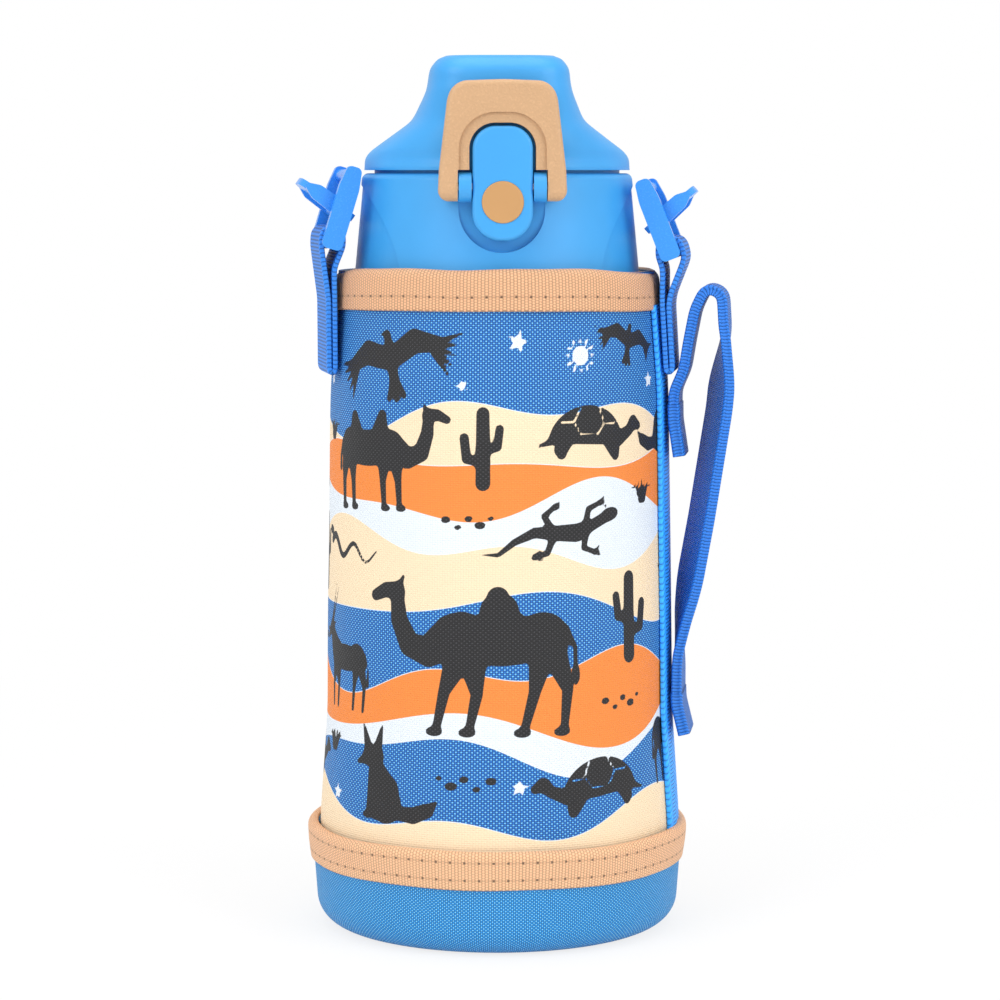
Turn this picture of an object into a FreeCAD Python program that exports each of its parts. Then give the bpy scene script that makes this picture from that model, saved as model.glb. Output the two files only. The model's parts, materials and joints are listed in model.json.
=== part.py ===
import FreeCAD, Part
import math
import os

from FreeCAD import Placement, Rotation, Vector

# A child's insulated drinking bottle in a fabric pouch. Millimetres, +Z up, the lid's
# latch faces -Y, and the origin is the centre of the pouch's flat bottom.

# ---- clearances and sheet thicknesses
fit_gap = 0.3            # between pieces of different bodies that pass each other
pin_gap = 0.05           # radial, a pin in its hole
bore_gap = 0.9           # radial, the loose bottle in its padding
steel = 0.8              # wall of each steel vessel
tape = 0.8               # woven binding tape
webbing = 1.3            # strap webbing

# ---- vessel
vessel_r = 41.8
vessel_height = 196.5    # from the foot's top to the mouth's rim
vessel_gap = 2.3         # vacuum between the two walls
vessel_edge = 3.0        # width of the turned-in rim under the bottom plate
foot_thick, foot_inset = 2.5, 1.2
shoulder_width, shoulder_round = 14.3, 9.0
neck_height, neck_round = 18.0, 2.0
thread_pitch, thread_height = 4.0, 1.2
thread_start = 4.2       # below the mouth's rim
thread_turns = 1.25

# ---- pouch
cup_floor, pad_thick = 4.0, 3.0
cup_height, cup_wall = 29.6, 2.5
cup_flare = 2.4          # how much wider the base cup is at its rim than at the floor
cup_round = 9.5
cup_seat = 10.0          # height of the ledge inside the cup that the sleeve stands on, over its floor
sleeve_wall = 1.0
padding_low, padding_hem, padding_waist, padding_chest, padding_top = 8.3, 6.15, 5.4, 4.5, 1.9
hem_rise, waist_rise, chest_drop = 32.4, 80.4, 33.3
sleeve_drop = 14.7       # the sleeve's top edge, below the mouth's rim
base_band_h, top_band_h = 10.4, 10.7
pouch_turn = -9.0        # the loose pouch sits turned on the bottle, degrees

# ---- cap unit
collar_lip, collar_taper = 0.1, 3.1
collar_height, collar_wall = 32.0, 2.4
collar_rise = 12.3       # the collar's top edge, above the mouth's rim
deck_drop, deck_thick = 4.3, 3.2
grip_r, grip_depth, grip_drop = 31.0, 0.5, 34.3
dish_r, dish_depth, dish_below = 12.0, 1.2, 3.4
lip_wall, lip_rise = 1.2, 2.2       # the ring that stands up inside the lid
skirt_wall = 2.2
spout_r, spout_bore_r, spout_height = 12.5, 9.6, 15.0
gasket_thick, gasket_lip = 1.2, 1.0

# ---- lid
lid_gap = 0.9            # parting line between collar and lid
lid_inset = 0.5          # the lid's radius, inside the collar's top edge
lid_wall, lid_height = 2.4, 32.0
lid_boss_half = 20.4     # half width of the raised boss over the spout
lid_skirt_height, lid_flare_height, lid_neck_height = 4.3, 14.0, 22.4
lid_round, lid_squareness, lid_narrowing = 5.8, 2.0, 0.14
lid_ridge_back = 11.5    # how far the flat top reaches behind the bottle's axis
seal_thick, liner_height = 2.2, 6.0
hinge_reach, hinge_drop = 2.8, 2.9
hinge_ear_r, hinge_pin_r = 3.4, 1.2
knuckle_half, knuckle_inner, ear_thick = 8.6, 4.4, 4.4

# ---- latch: release lever, button and lock ring share one pin
latch_reach, latch_drop = 2.8, 3.7
latch_pin_r = 1.2
lever_half, lever_below, lever_above = 8.3, 14.8, 16.7
lever_back, lever_thick, lever_round = 1.3, 5.0, 6.3
button_r, button_below, button_seat = 5.85, 4.2, 1.6
well_r, well_depth, well_below = 2.9, 2.6, 9.8
ear_r, ear_width = 4.15, 3.5
arm_width = 5.5
ring_below, ring_crown, ring_narrows, ring_corner = 4.0, 11.4, 3.3, 5.6
ring_back, ring_thick, ring_heel = 2.6, 6.2, 2.8
ring_rim_width, ring_rim_step = 2.9, 0.9
nose_half, nose_reach, nose_height, nose_up = 4.0, 1.5, 2.0, 1.7

# ---- strap buckles
bar_r = 2.0
frame_inside, rail_width = 23.0, 3.0
rail_length, rail_thick, rail_foot = 24.1, 5.8, 3.2
lever_pivot_u, top_bar_u = 8.5, 18.3
buckle_pin_r, hub_r = 1.2, 2.4
pin_cover = 0.8          # rail left over the end of the buckle's pin
# place round the pouch from the hand strap's side, bar beyond the sleeve's top edge and above it, lean of
# the frame from upright, and how far the tongue lies above the horizontal
left_side, left_bar_out, left_bar_up, left_lean, left_tongue = 197.0, 3.5, 8.8, 17.0, 36.0
right_side, right_bar_out, right_bar_up, right_lean, right_tongue = 0.0, 4.8, 5.7, 21.5, 42.0
tongue_length, tail_length, tongue_thick = 13.5, 4.6, 2.0
strap_width = 22.0
left_loop_slack, right_loop_slack = 0.2, 1.6    # how far the loop's eye bulges outward
loop_drop = 29.8         # the loop's folded lower edge, below the sleeve's top edge

# ---- hand strap: its middle line as (out from the side webbing, up from its lower end, corner round)
hand_strap_width, hand_strap_thick = 19.0, 2.2
hand_strap_low_z = 69.0
hand_strap_line = [
    (1.5, 83.5, 0), (1.5, 87.0, 5), (4.3, 93.5, 8), (5.5, 101.0, 20), (7.3, 110.5, 12),
    (10.5, 117.2, 2.4), (15.1, 115.0, 2.8), (15.9, 102.0, 25), (14.1, 82.0, 60), (9.1, 50.0, 90),
    (4.1, 22.0, 30), (2.8, 11.0, 12), (2.8, 0.0, 0),
]
top_tab_line = [(3.1, 68.6, 0), (1.5, 78.5, 10), (1.5, 83.5, 0)]
bottom_tab_line = [(2.8, 0.0, 0), (2.8, -3.5, 8), (5.0, -12.0, 0)]

# ---- levels and radii that follow
vessel_low_z = cup_floor + pad_thick
steel_low_z = vessel_low_z + foot_thick
neck_top_z = steel_low_z + vessel_height
shoulder_top_z = neck_top_z - neck_height
neck_r = vessel_r - shoulder_width
mouth_r = neck_r - 2 * steel
pouch_bore_r = vessel_r + bore_gap

sleeve_top_z = neck_top_z - sleeve_drop
cup_seat_z = cup_floor + cup_seat
sleeve_low_r = pouch_bore_r + sleeve_wall + padding_low
sleeve_waist_r = pouch_bore_r + sleeve_wall + padding_waist
sleeve_top_r = pouch_bore_r + sleeve_wall + padding_top
cup_r = sleeve_low_r + cup_wall
cup_foot_r = cup_r - cup_flare

collar_top_z = neck_top_z + collar_rise
collar_low_z = collar_top_z - collar_height
collar_low_r = vessel_r + collar_lip
collar_top_r = collar_low_r - collar_taper
band_bore_r = collar_low_r + fit_gap
deck_top_z = collar_top_z - deck_drop
deck_low_z = deck_top_z - deck_thick
skirt_bore_r = neck_r + thread_height + fit_gap
spout_top_z = deck_top_z + spout_height

lid_low_z = collar_top_z + lid_gap
lid_top_z = lid_low_z + lid_height
lid_r = collar_top_r - lid_inset
lip_r = lid_r - lid_wall - 2 * fit_gap
hinge_y, hinge_z = collar_top_r + hinge_reach, collar_top_z - hinge_drop
latch_y, latch_z = -collar_top_r - latch_reach, collar_top_z - latch_drop
lever_low_z, lever_top_z = latch_z - lever_below, latch_z + lever_above
lever_back_y = latch_y + lever_back
lever_front_y = lever_back_y - lever_thick
button_z, well_z = latch_z - button_below, latch_z - well_below
ring_low_z = latch_z - ring_below
ring_back_y = latch_y + ring_back
dish_y = dish_depth - collar_top_r
ring_front_y = ring_back_y - ring_thick
nose_low_z = lid_low_z + nose_up
nose_tip_y = -lid_r + nose_reach
lid_pocket_y = -lid_r + lid_wall + 0.5
arm_inner = lever_half + 2 * fit_gap + ear_width
ring_top_half = arm_inner + arm_width - ring_narrows

# side angle, bar radius, bar height, lean and tongue angle of each buckle
buckle_places = {
    "left": (left_side, sleeve_top_r + left_bar_out, sleeve_top_z + left_bar_up, left_lean, left_tongue),
    "right": (
        right_side, sleeve_top_r + right_bar_out, sleeve_top_z + right_bar_up, right_lean, right_tongue),
}
loop_low_z = sleeve_top_z - loop_drop

origin = Vector(0, 0, 0)
along_x, along_y, along_z = Vector(1, 0, 0), Vector(0, 1, 0), Vector(0, 0, 1)


# ---- drawing helpers
def in_xz(a, b, c=0.0):
    return Vector(a, c, b)


def in_yz(a, b, c=0.0):
    return Vector(c, a, b)


def in_xy(a, b, c=0.0):
    return Vector(a, b, c)


def outline(corners, plane, offset=0.0):
    """Closed wire through (a, b, round) corners, each corner rounded by its own radius."""
    corners = [(*c, 0.0)[:3] for c in corners]
    ends = []
    for i, (a, b, round_r) in enumerate(corners):
        here = Vector(a, b, 0)
        back = (Vector(*corners[i - 1][:2], 0) - here).normalize()
        ahead = (Vector(*corners[(i + 1) % len(corners)][:2], 0) - here).normalize()
        half = back.getAngle(ahead) / 2
        if round_r <= 0 or half > math.radians(89.7):
            ends.append((here, None, here))
            continue
        inward = (back + ahead).normalize()
        cut = round_r / math.tan(half)
        middle = here + inward * (round_r / math.sin(half) - round_r)
        ends.append((here + back * cut, middle, here + ahead * cut))
    place = lambda v: plane(v.x, v.y, offset)
    edges = []
    for i, (start, middle, end) in enumerate(ends):
        before = ends[i - 1][2]
        if (start - before).Length > 1e-6:
            edges.append(Part.LineSegment(place(before), place(start)).toShape())
        if middle is not None:
            edges.append(Part.Arc(place(start), place(middle), place(end)).toShape())
    return Part.Wire(edges)


def turned_form(corners, start=0.0, sweep=360.0):
    """Solid of revolution about Z of (radius, z, round) corners."""
    face = Part.Face(outline(corners, in_xz))
    face.rotate(origin, along_z, start)
    return face.revolve(origin, along_z, sweep)


def slab(corners, plane, low, high):
    """(a, b, round) corners extruded across their plane from low to high."""
    face = Part.Face(outline(corners, plane, low))
    return face.extrude(plane(0, 0, high) - plane(0, 0, low))


def box(x, y, z):
    return Part.makeBox(x[1] - x[0], y[1] - y[0], z[1] - z[0], Vector(x[0], y[0], z[0]))


def rod_x(radius, low, high, y, z):
    return Part.makeCylinder(radius, high - low, Vector(low, y, z), along_x)


def band(line, thickness, width):
    """Flat strap: a middle line of (x, z, round) corners, thickened in its plane, extruded along Y."""
    left, right = [], []
    for i, (x, z, round_r) in enumerate(line):
        here = Vector(x, 0, z)
        before = (here - in_xz(*line[i - 1][:2])).normalize() if i else None
        after = (in_xz(*line[i + 1][:2]) - here).normalize() if i + 1 < len(line) else None
        before, after = before or after, after or before
        side = (Vector(before.z, 0, -before.x) + Vector(after.z, 0, -after.x)).normalize()
        reach = thickness / 2 / math.cos(before.getAngle(after) / 2)
        bends_right = before.x * after.z - before.z * after.x < 0
        grow = thickness / 2 if bends_right else -thickness / 2
        a, b = here - side * reach, here + side * reach
        left.append((a.x, a.z, round_r + grow if round_r else 0))
        right.append((b.x, b.z, round_r - grow if round_r else 0))
    return slab(left + right[::-1], in_xz, -width / 2, width / 2)


def placed(shape, turn_z=0.0):
    made = shape.copy()
    made.rotate(origin, along_z, turn_z)
    return made


def on_pouch(shape, side_angle=0.0):
    """A piece drawn at the +X side, set at its side angle on the turned pouch."""
    return placed(shape, side_angle + pouch_turn)


# ---- sleeve line shared by everything sewn on the sleeve
def sleeve_line(out, low, high):
    """(radius, z) points of the sleeve's outside moved outward by out, from low to high."""
    lined_r = pouch_bore_r + sleeve_wall
    knots = [
        (cup_height, sleeve_low_r), (cup_height + hem_rise, lined_r + padding_hem),
        (cup_height + waist_rise, sleeve_waist_r), (sleeve_top_z - chest_drop, lined_r + padding_chest),
        (sleeve_top_z, sleeve_top_r),
    ]

    def radius(z):
        if z <= knots[0][0]:
            return knots[0][1]
        for (z0, r0), (z1, r1) in zip(knots, knots[1:]):
            if z <= z1:
                return r0 + (r1 - r0) * (z - z0) / (z1 - z0)
        return knots[-1][1]

    inside = [z for z, _ in knots if low < z < high]
    return [(radius(z) + out, z) for z in [low, *inside, high]]


# ---- pouch
def base_cup():
    return turned_form([
        (0, 0), (cup_foot_r, 0, cup_round), (cup_r, cup_height), (sleeve_low_r, cup_height),
        (sleeve_low_r, cup_seat_z), (pouch_bore_r, cup_seat_z), (pouch_bore_r, cup_floor), (0, cup_floor),
    ])


def base_pad():
    return Part.makeCylinder(pouch_bore_r - fit_gap, pad_thick, Vector(0, 0, cup_floor))


def sleeve():
    outside = sleeve_line(0, cup_seat_z, sleeve_top_z)
    inside = sleeve_line(-sleeve_wall, cup_seat_z, sleeve_top_z)
    return turned_form(outside + inside[::-1])


def sleeve_padding():
    outside = sleeve_line(-sleeve_wall, cup_seat_z, sleeve_top_z)
    return turned_form(outside + [(pouch_bore_r, sleeve_top_z), (pouch_bore_r, cup_seat_z)])


def top_binding():
    low = sleeve_top_z - top_band_h + tape
    outside = sleeve_line(0, low, sleeve_top_z)
    outer = sleeve_line(tape, low, sleeve_top_z)
    shell = outer[:-1] + [
        (outer[-1][0], sleeve_top_z + tape, 1.4), (band_bore_r, sleeve_top_z + tape, 0.3),
        (band_bore_r, low), (pouch_bore_r, low), (pouch_bore_r, sleeve_top_z),
    ]
    return turned_form(shell + outside[::-1])


def base_binding():
    low = cup_height + tape - base_band_h
    foot = cup_foot_r + (cup_r - cup_foot_r) * low / cup_height
    return turned_form([
        (foot, low), (foot + 1.2 * tape, low), (cup_r + 1.3 * tape, cup_height + tape, 0.7),
        (sleeve_low_r + 0.5, cup_height + tape, 0.3), (sleeve_low_r + 0.5, cup_height), (cup_r, cup_height),
    ])


def side_webbing():
    low, high = cup_height + tape, sleeve_top_z - top_band_h + tape
    half = math.degrees(strap_width / 2 / sleeve_waist_r)
    outer = sleeve_line(webbing, low, high)
    return turned_form(outer + sleeve_line(0, low, high)[::-1], -half, 2 * half)


def strap_loop(bar_x, bar_z, under, slack):
    """Two layers sewn flat on what lies under them, opening into an eye around the buckle's lower bar."""
    eye = bar_r + fit_gap
    out = eye + webbing
    foot_x = sleeve_line(under, loop_low_z, sleeve_top_z)[0][0] + 0.1
    neck_x = sleeve_line(tape, sleeve_top_z - 9, sleeve_top_z)[0][0] + 0.9
    neck_z = sleeve_top_z - 9
    body = slab([
        (foot_x, loop_low_z, 1.2), (foot_x + 2 * webbing, loop_low_z, 1.2),
        (neck_x + 2.3 * webbing, neck_z, 12), (bar_x + out + slack, bar_z - 2.5, 5),
        (bar_x + out, bar_z + out, 3.2), (bar_x - out, bar_z + out, 3.2),
        (bar_x - out, bar_z - 2.6, 4), (neck_x, neck_z + 9.6, 4), (neck_x, neck_z, 12),
    ], in_xz, -strap_width / 2, strap_width / 2)
    hole = slab([
        (neck_x + 1.15 * webbing, neck_z + 4, 0.3), (bar_x + eye + slack - 0.2, bar_z - 2.5, 4),
        (bar_x + eye, bar_z + eye, 2.0), (bar_x - eye, bar_z + eye, 2.0), (bar_x - eye, bar_z - 1.6, 2),
    ], in_xz, -strap_width, strap_width)
    return body.cut(hole)


def strap_run(line, layers):
    """A stretch of the hand strap, set out from the side webbing's face."""
    face = sleeve_waist_r + webbing
    placed_line = [(face + out, hand_strap_low_z + up, round_r) for out, up, round_r in line]
    return band(placed_line, layers * hand_strap_thick, hand_strap_width)


def hand_strap():
    return strap_run(hand_strap_line, 1.0)


def strap_tab(line):
    return strap_run(line, 1.7)


# ---- buckles, drawn upright about the lower bar's axis with the thickness along X
def buckle_frame():
    half = rail_thick / 2
    low, high = -rail_foot, rail_length - rail_foot
    rail = [
        (-half, low, 1.6), (half, low, 1.6), (half, high - 6, 10), (half - 0.9, high, 1.6),
        (0.9 - half, high, 1.6), (-half, high - 6, 10),
    ]
    inner, outer = frame_inside / 2, frame_inside / 2 + rail_width
    frame = slab(rail, in_xz, inner, outer).fuse(slab(rail, in_xz, -outer, -inner))
    for u, r in ((0.0, bar_r), (top_bar_u, bar_r - 0.2)):
        frame = frame.fuse(Part.makeCylinder(r, 2 * outer - 1, Vector(0, 0.5 - outer, u), along_y))
    hole_half = outer - pin_cover
    hole = Part.makeCylinder(
        buckle_pin_r + pin_gap, 2 * hole_half, Vector(0, -hole_half, lever_pivot_u), along_y)
    return frame.cut(hole).removeSplitter()


def buckle_lever():
    """Drawn with its hub at the origin and its tongue along +Z."""
    half_w, half_t = frame_inside / 2 - 2.2, tongue_thick / 2
    tongue = slab([
        (-half_w, -tail_length, 1.5), (half_w, -tail_length, 1.5), (half_w, 6, 12),
        (half_w - 1.6, tongue_length, 6.5), (1.6 - half_w, tongue_length, 6.5), (-half_w, 6, 12),
    ], lambda a, b, c=0.0: Vector(c, a, b), -half_t, half_t)
    hub_half, pin_half = frame_inside / 2 - 0.5, frame_inside / 2 + rail_width - pin_cover - fit_gap
    hub = Part.makeCylinder(hub_r, 2 * hub_half, Vector(0, -hub_half, 0), along_y)
    pin = Part.makeCylinder(buckle_pin_r, 2 * pin_half, Vector(0, -pin_half, 0), along_y)
    rib = [
        (-2.5, -1.0, 0.8), (2.5, -1.0, 0.8), (2.2, 8.5, 3), (0.6, 12, 0.5), (-0.6, 12, 0.5), (-2.2, 8.5, 3),
    ]
    lever = tongue.fuse([hub, pin])
    for low, high in ((half_w - 1.8, half_w), (-half_w, 1.8 - half_w)):
        lever = lever.fuse(slab(rib, in_xz, low, high))
    slot = slab([(-4, 4.0, 1.9), (4, 4.0, 1.9), (4, 8.2, 1.9), (-4, 8.2, 1.9)],
                lambda a, b, c=0.0: Vector(c, a, b), -4, 4)
    return lever.cut(slot).removeSplitter()


def buckle_pieces(side):
    """Frame and lever of one side, leaned in over the pouch's top edge."""
    angle, bar_x, bar_z, lean, tongue_angle = buckle_places[side]
    frame, lever = buckle_frame(), buckle_lever()
    lever.rotate(origin, along_y, (90 - tongue_angle) + lean)
    lever.translate(Vector(0, 0, lever_pivot_u))
    made = []
    for piece in (frame, lever):
        piece.rotate(origin, along_y, -lean)
        piece.translate(Vector(bar_x, 0, bar_z))
        made.append(on_pouch(piece, angle))
    return made


# ---- vessel
def foot():
    edge = vessel_r - foot_inset
    return turned_form([
        (0, vessel_low_z), (edge - 0.8, vessel_low_z, 0.8), (edge, steel_low_z, 0.3), (0, steel_low_z),
    ])


thread_low_z = neck_top_z - thread_start - thread_pitch * thread_turns


def thread_ridge(radius, low, rise, depth, turns):
    """Helical ridge whose flanks lean by a fifth of the pitch. A negative rise points inward."""
    half = thread_pitch * 0.2
    helix = Part.makeHelix(thread_pitch, thread_pitch * turns, radius)
    section = Part.makePolygon([
        Vector(radius - depth, 0, -1.6 * half), Vector(radius + rise, 0, -half * 0.7),
        Vector(radius + rise, 0, half * 0.7), Vector(radius - depth, 0, 1.6 * half),
        Vector(radius - depth, 0, -1.6 * half),
    ])
    ridge = Part.Wire(helix).makePipeShell([section], True, True)
    ridge.translate(Vector(0, 0, low))
    return ridge


def outer_vessel():
    low, inner_r = steel_low_z, vessel_r - steel
    wall = turned_form([
        (vessel_r - vessel_edge, low), (vessel_r, low, 2.6), (vessel_r, shoulder_top_z, shoulder_round),
        (neck_r, shoulder_top_z, neck_round), (neck_r, neck_top_z), (neck_r - steel, neck_top_z),
        (neck_r - steel, shoulder_top_z - steel, neck_round + steel),
        (inner_r, shoulder_top_z - steel, shoulder_round - steel), (inner_r, low + steel, 2.6 - steel),
        (vessel_r - vessel_edge, low + steel),
    ])
    return wall.fuse(thread_ridge(neck_r, thread_low_z, thread_height, 0.4, thread_turns))


def inner_vessel():
    r = vessel_r - steel - vessel_gap
    low = steel_low_z + steel + vessel_gap
    top = shoulder_top_z - steel - vessel_gap
    neck = neck_r - steel
    return turned_form([
        (0, low), (r, low, 9), (r, top, 8), (neck, top, neck_round), (neck, neck_top_z),
        (mouth_r, neck_top_z),
        (mouth_r, top - steel, neck_round + steel), (r - steel, top - steel, 8 - steel),
        (r - steel, low + steel, 9 - steel), (0, low + steel),
    ])


def vessel_bottom():
    low, edge = steel_low_z, vessel_r - vessel_edge
    dish = low + steel + vessel_gap / 2
    return turned_form([
        (0, low), (edge, low), (edge, low + steel), (edge - 6, low + steel), (edge - 8, dish), (0, dish),
    ])


# ---- cap unit
def collar_radius(z):
    return collar_low_r + (collar_top_r - collar_low_r) * (z - collar_low_z) / (collar_top_z - collar_low_z)


def collar_blank(out):
    """The outside form of the collar, moved outward by out, as one closed block."""
    return turned_form([
        (0, collar_low_z), (collar_low_r + out, collar_low_z, 0.8 if out == 0 else 0),
        (collar_top_r + out, collar_top_z, 2.0 if out == 0 else 0), (0, collar_top_z),
    ])


def collar():
    body = collar_blank(0)
    skirt_r = skirt_bore_r + skirt_wall
    behind_dish = slab(dish_outline(collar_wall), in_xz, -collar_low_r, dish_y + collar_wall)
    hollow = turned_form([
        (skirt_r, collar_low_z - 1), (collar_low_r - collar_wall, collar_low_z - 1),
        (collar_radius(deck_low_z) - collar_wall, deck_low_z, 2), (skirt_r, deck_low_z, 1),
    ])
    hollow = hollow.cut(behind_dish)
    bore = Part.makeCylinder(skirt_bore_r, deck_low_z - collar_low_z + 1, Vector(0, 0, collar_low_z - 1))
    tray = turned_form([
        (spout_r + fit_gap, deck_low_z - 1), (spout_r + fit_gap, deck_top_z),
        (collar_top_r - collar_wall - 1, deck_top_z, 1.5),
        (collar_top_r - collar_wall - 0.6, collar_top_z + 1),
        (0, collar_top_z + 1), (0, deck_low_z - 1),
    ])
    skirt_cut = Part.makeCylinder(
        skirt_r + 0.1, shoulder_top_z + 2 * fit_gap - collar_low_z + 1, Vector(0, 0, collar_low_z - 1))
    body = body.cut([hollow, bore, tray, skirt_cut]).fuse(lid_lip())
    shell = collar_blank(1).cut(collar_blank(-grip_depth))
    for sign in (1, -1):
        centre = Vector(0, 0, collar_top_z - grip_drop)
        pad = Part.makeCylinder(grip_r, 2 * collar_low_r, centre, Vector(sign, 0, 0))
        body = body.cut(shell.common(pad))
    body = body.cut(slab(dish_outline(0), in_xz, lever_front_y, dish_y))
    ridge = thread_ridge(
        skirt_bore_r, thread_low_z - thread_pitch / 2, -thread_height + 0.1, -0.4, thread_turns)
    relief_half = knuckle_half + fit_gap
    relief = rod_x(hinge_ear_r + fit_gap, -relief_half, relief_half, hinge_y, hinge_z)
    body = body.fuse(ridge).cut(relief)
    return body.fuse(latch_ears()).cut(latch_bores()).fuse(hinge_ears()).cut(
        rod_x(hinge_pin_r, -20, 20, hinge_y, hinge_z))


def dish_outline(out):
    """The hollow behind the lever, moved outward by out: round below, square above."""
    half, low_z, high_z = dish_r + out, lever_low_z - dish_below - out, collar_top_z - 3
    return [(-half, low_z, half - 0.1), (half, low_z, half - 0.1), (half, high_z, 0), (-half, high_z, 0)]


def lid_lip():
    """Ring on the deck that stands up inside the lid and closes the parting line to view."""
    root_r, lip_top = collar_top_r - collar_wall, collar_top_z + lip_rise
    return turned_form([
        (lip_r - lip_wall, deck_top_z - 0.5), (root_r, deck_top_z - 0.5), (root_r, collar_top_z - 1.5),
        (lip_r, collar_top_z - 1.0), (lip_r, lip_top, 0.4), (lip_r - lip_wall, lip_top, 0.4),
    ])


def latch_ears():
    ears = []
    for sign in (1, -1):
        low, high = sorted((sign * (lever_half + fit_gap), sign * (lever_half + fit_gap + ear_width)))
        ears.append(rod_x(ear_r, low, high, latch_y, latch_z))
        ears.append(box((low, high), (latch_y, 4.6 - collar_top_r), (latch_z - ear_r, collar_top_z - 1)))
    return ears


def latch_bores():
    return rod_x(latch_pin_r, -20, 20, latch_y, latch_z)


def hinge_ears():
    ears = []
    for sign in (1, -1):
        low, high = sorted((sign * (knuckle_half + fit_gap), sign * (knuckle_half + fit_gap + ear_thick)))
        ears.append(rod_x(hinge_ear_r, low, high, hinge_y, hinge_z))
        ears.append(slab([
            (hinge_y + hinge_ear_r, hinge_z), (hinge_y, hinge_z - hinge_ear_r * 2.4, 2),
            (hinge_y - 6.1, hinge_z - hinge_ear_r * 2.8), (hinge_y - 6.1, hinge_z + 2.4),
            (hinge_y, hinge_z + hinge_ear_r - 0.1),
        ], in_yz, low, high))
    return ears


def spout():
    low = neck_top_z + gasket_thick
    return turned_form([
        (spout_bore_r, low), (neck_r + 0.4, low), (neck_r + 0.4, deck_low_z, 0.5), (spout_r + 2, deck_low_z),
        (spout_r, deck_low_z, 0), (spout_r - 0.8, spout_top_z, 1.0), (spout_bore_r, spout_top_z, 0.9),
    ])


def mouth_gasket():
    inner, top = mouth_r - gasket_lip, neck_top_z + gasket_thick
    return turned_form([(inner, neck_top_z), (neck_r, neck_top_z), (neck_r, top), (inner, top)])


def deck_gasket():
    return turned_form([
        (neck_r + 0.4, deck_low_z - 2.4, 0.4), (skirt_bore_r, deck_low_z - 2.4, 0.4),
        (skirt_bore_r, deck_low_z), (neck_r + 0.4, deck_low_z),
    ])


def hinge_pin():
    half = knuckle_half + fit_gap + ear_thick
    return rod_x(hinge_pin_r, -half, half, hinge_y, hinge_z)


def latch_pin():
    half = arm_inner + arm_width - 1.2
    return rod_x(latch_pin_r, -half, half, latch_y, latch_z)


def coil(radius, wire, pitch, turns, start, direction):
    """Round-wire spring: a circle carried along a helix."""
    helix = Part.makeHelix(pitch, pitch * turns, radius)
    circle = Part.Wire(Part.makeCircle(wire, Vector(radius, 0, 0), along_y))
    spring = Part.Wire(helix).makePipeShell([circle], True, True)
    spring.Placement = Placement(start, Rotation(along_z, direction))
    return spring


def hinge_spring():
    return coil(hinge_pin_r + 0.8, 0.4, 1.0, 7, Vector(-3.5, hinge_y, hinge_z), along_x)


def button_spring():
    wire = 0.35
    back_y = dish_y - wire - 0.05
    return coil(well_r - 1.1, wire, 0.95, 3, Vector(0, back_y, well_z), Vector(0, -1, 0))


# ---- lid
liner_r = spout_r + 1.9


def reach_at(line, level):
    """How far a (reach, level) line of points stands out from the axis at one level."""
    reach = 0.0
    for low, high in zip(line, line[1:]):
        if low.z > high.z:
            low, high = high, low
        if low.z <= level <= high.z and high.z > low.z:
            reach = max(reach, low.x + (high.x - low.x) * (level - low.z) / (high.z - low.z))
    return reach


def lid_lines():
    """Side, front and back lines of the lid, as reach from the axis and rise over its lower edge."""
    half, top, edge = lid_boss_half, lid_height, lid_r
    side = [
        (edge, 0, 0), (edge - 0.4, lid_skirt_height, 5), (half + 3.9, lid_flare_height, 9),
        (half - 0.2, lid_neck_height, 14), (half - 1.5, top, lid_round),
    ]
    front = [(edge, 0, 0), (edge - 1.6, top, lid_round)]
    back = [(edge, 0, 0), (edge - 0.7, lid_flare_height - 1.0, 14), (lid_ridge_back, top, 18)]
    return [outline([(0, 0), *line, (0, top)], in_xz).discretize(900) for line in (side, front, back)]


def lid_section(level, risen, half, front, back):
    """Level section: a superellipse, round at the edge, squarer and narrower behind higher up."""
    power = 2.0 + lid_squareness * risen
    middle, reach = (back - front) / 2, (back + front) / 2
    points = []
    for i in range(20):
        turn = math.tau * (i + 0.5) / 20
        x, y = math.cos(turn), math.sin(turn)
        x = half * math.copysign(abs(x) ** (2 / power), x) * (1 - lid_narrowing / 2 * risen * y)
        y = middle + reach * math.copysign(abs(y) ** (2 / power), y)
        points.append(Vector(x, y, level))
    curve = Part.BSplineCurve()
    curve.interpolate(Points=points, PeriodicFlag=True)
    return Part.Wire(curve.toShape())


def lid_form(inset):
    """Smooth body through level sections, shrunk by inset. It starts below the edge and is cut off level."""
    lines = lid_lines()
    step = 2.0
    round_low = lid_height - lid_round
    rises = [step * i for i in range(-3, int(round_low / step))]
    rises += [round_low + lid_round * math.sin(math.pi / 2 * i / 6) for i in range(6)]
    wires = []
    for rise in rises:
        risen = min(1.0, max(0.0, (rise - lid_skirt_height) / (lid_neck_height - lid_skirt_height)))
        level = lid_low_z + (rise if rise < 0 else rise * (1 - inset / lid_height))
        reaches = [reach_at(line, max(rise, 0.01)) - inset for line in lines]
        wires.append(lid_section(level, risen, *reaches))
    loft = Part.makeLoft(wires, True, False, False, 3)
    low = lid_low_z - (1 if inset else 0)
    return loft.common(Part.makeCylinder(lid_r + 2, lid_height + 4, Vector(0, 0, low)))


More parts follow.
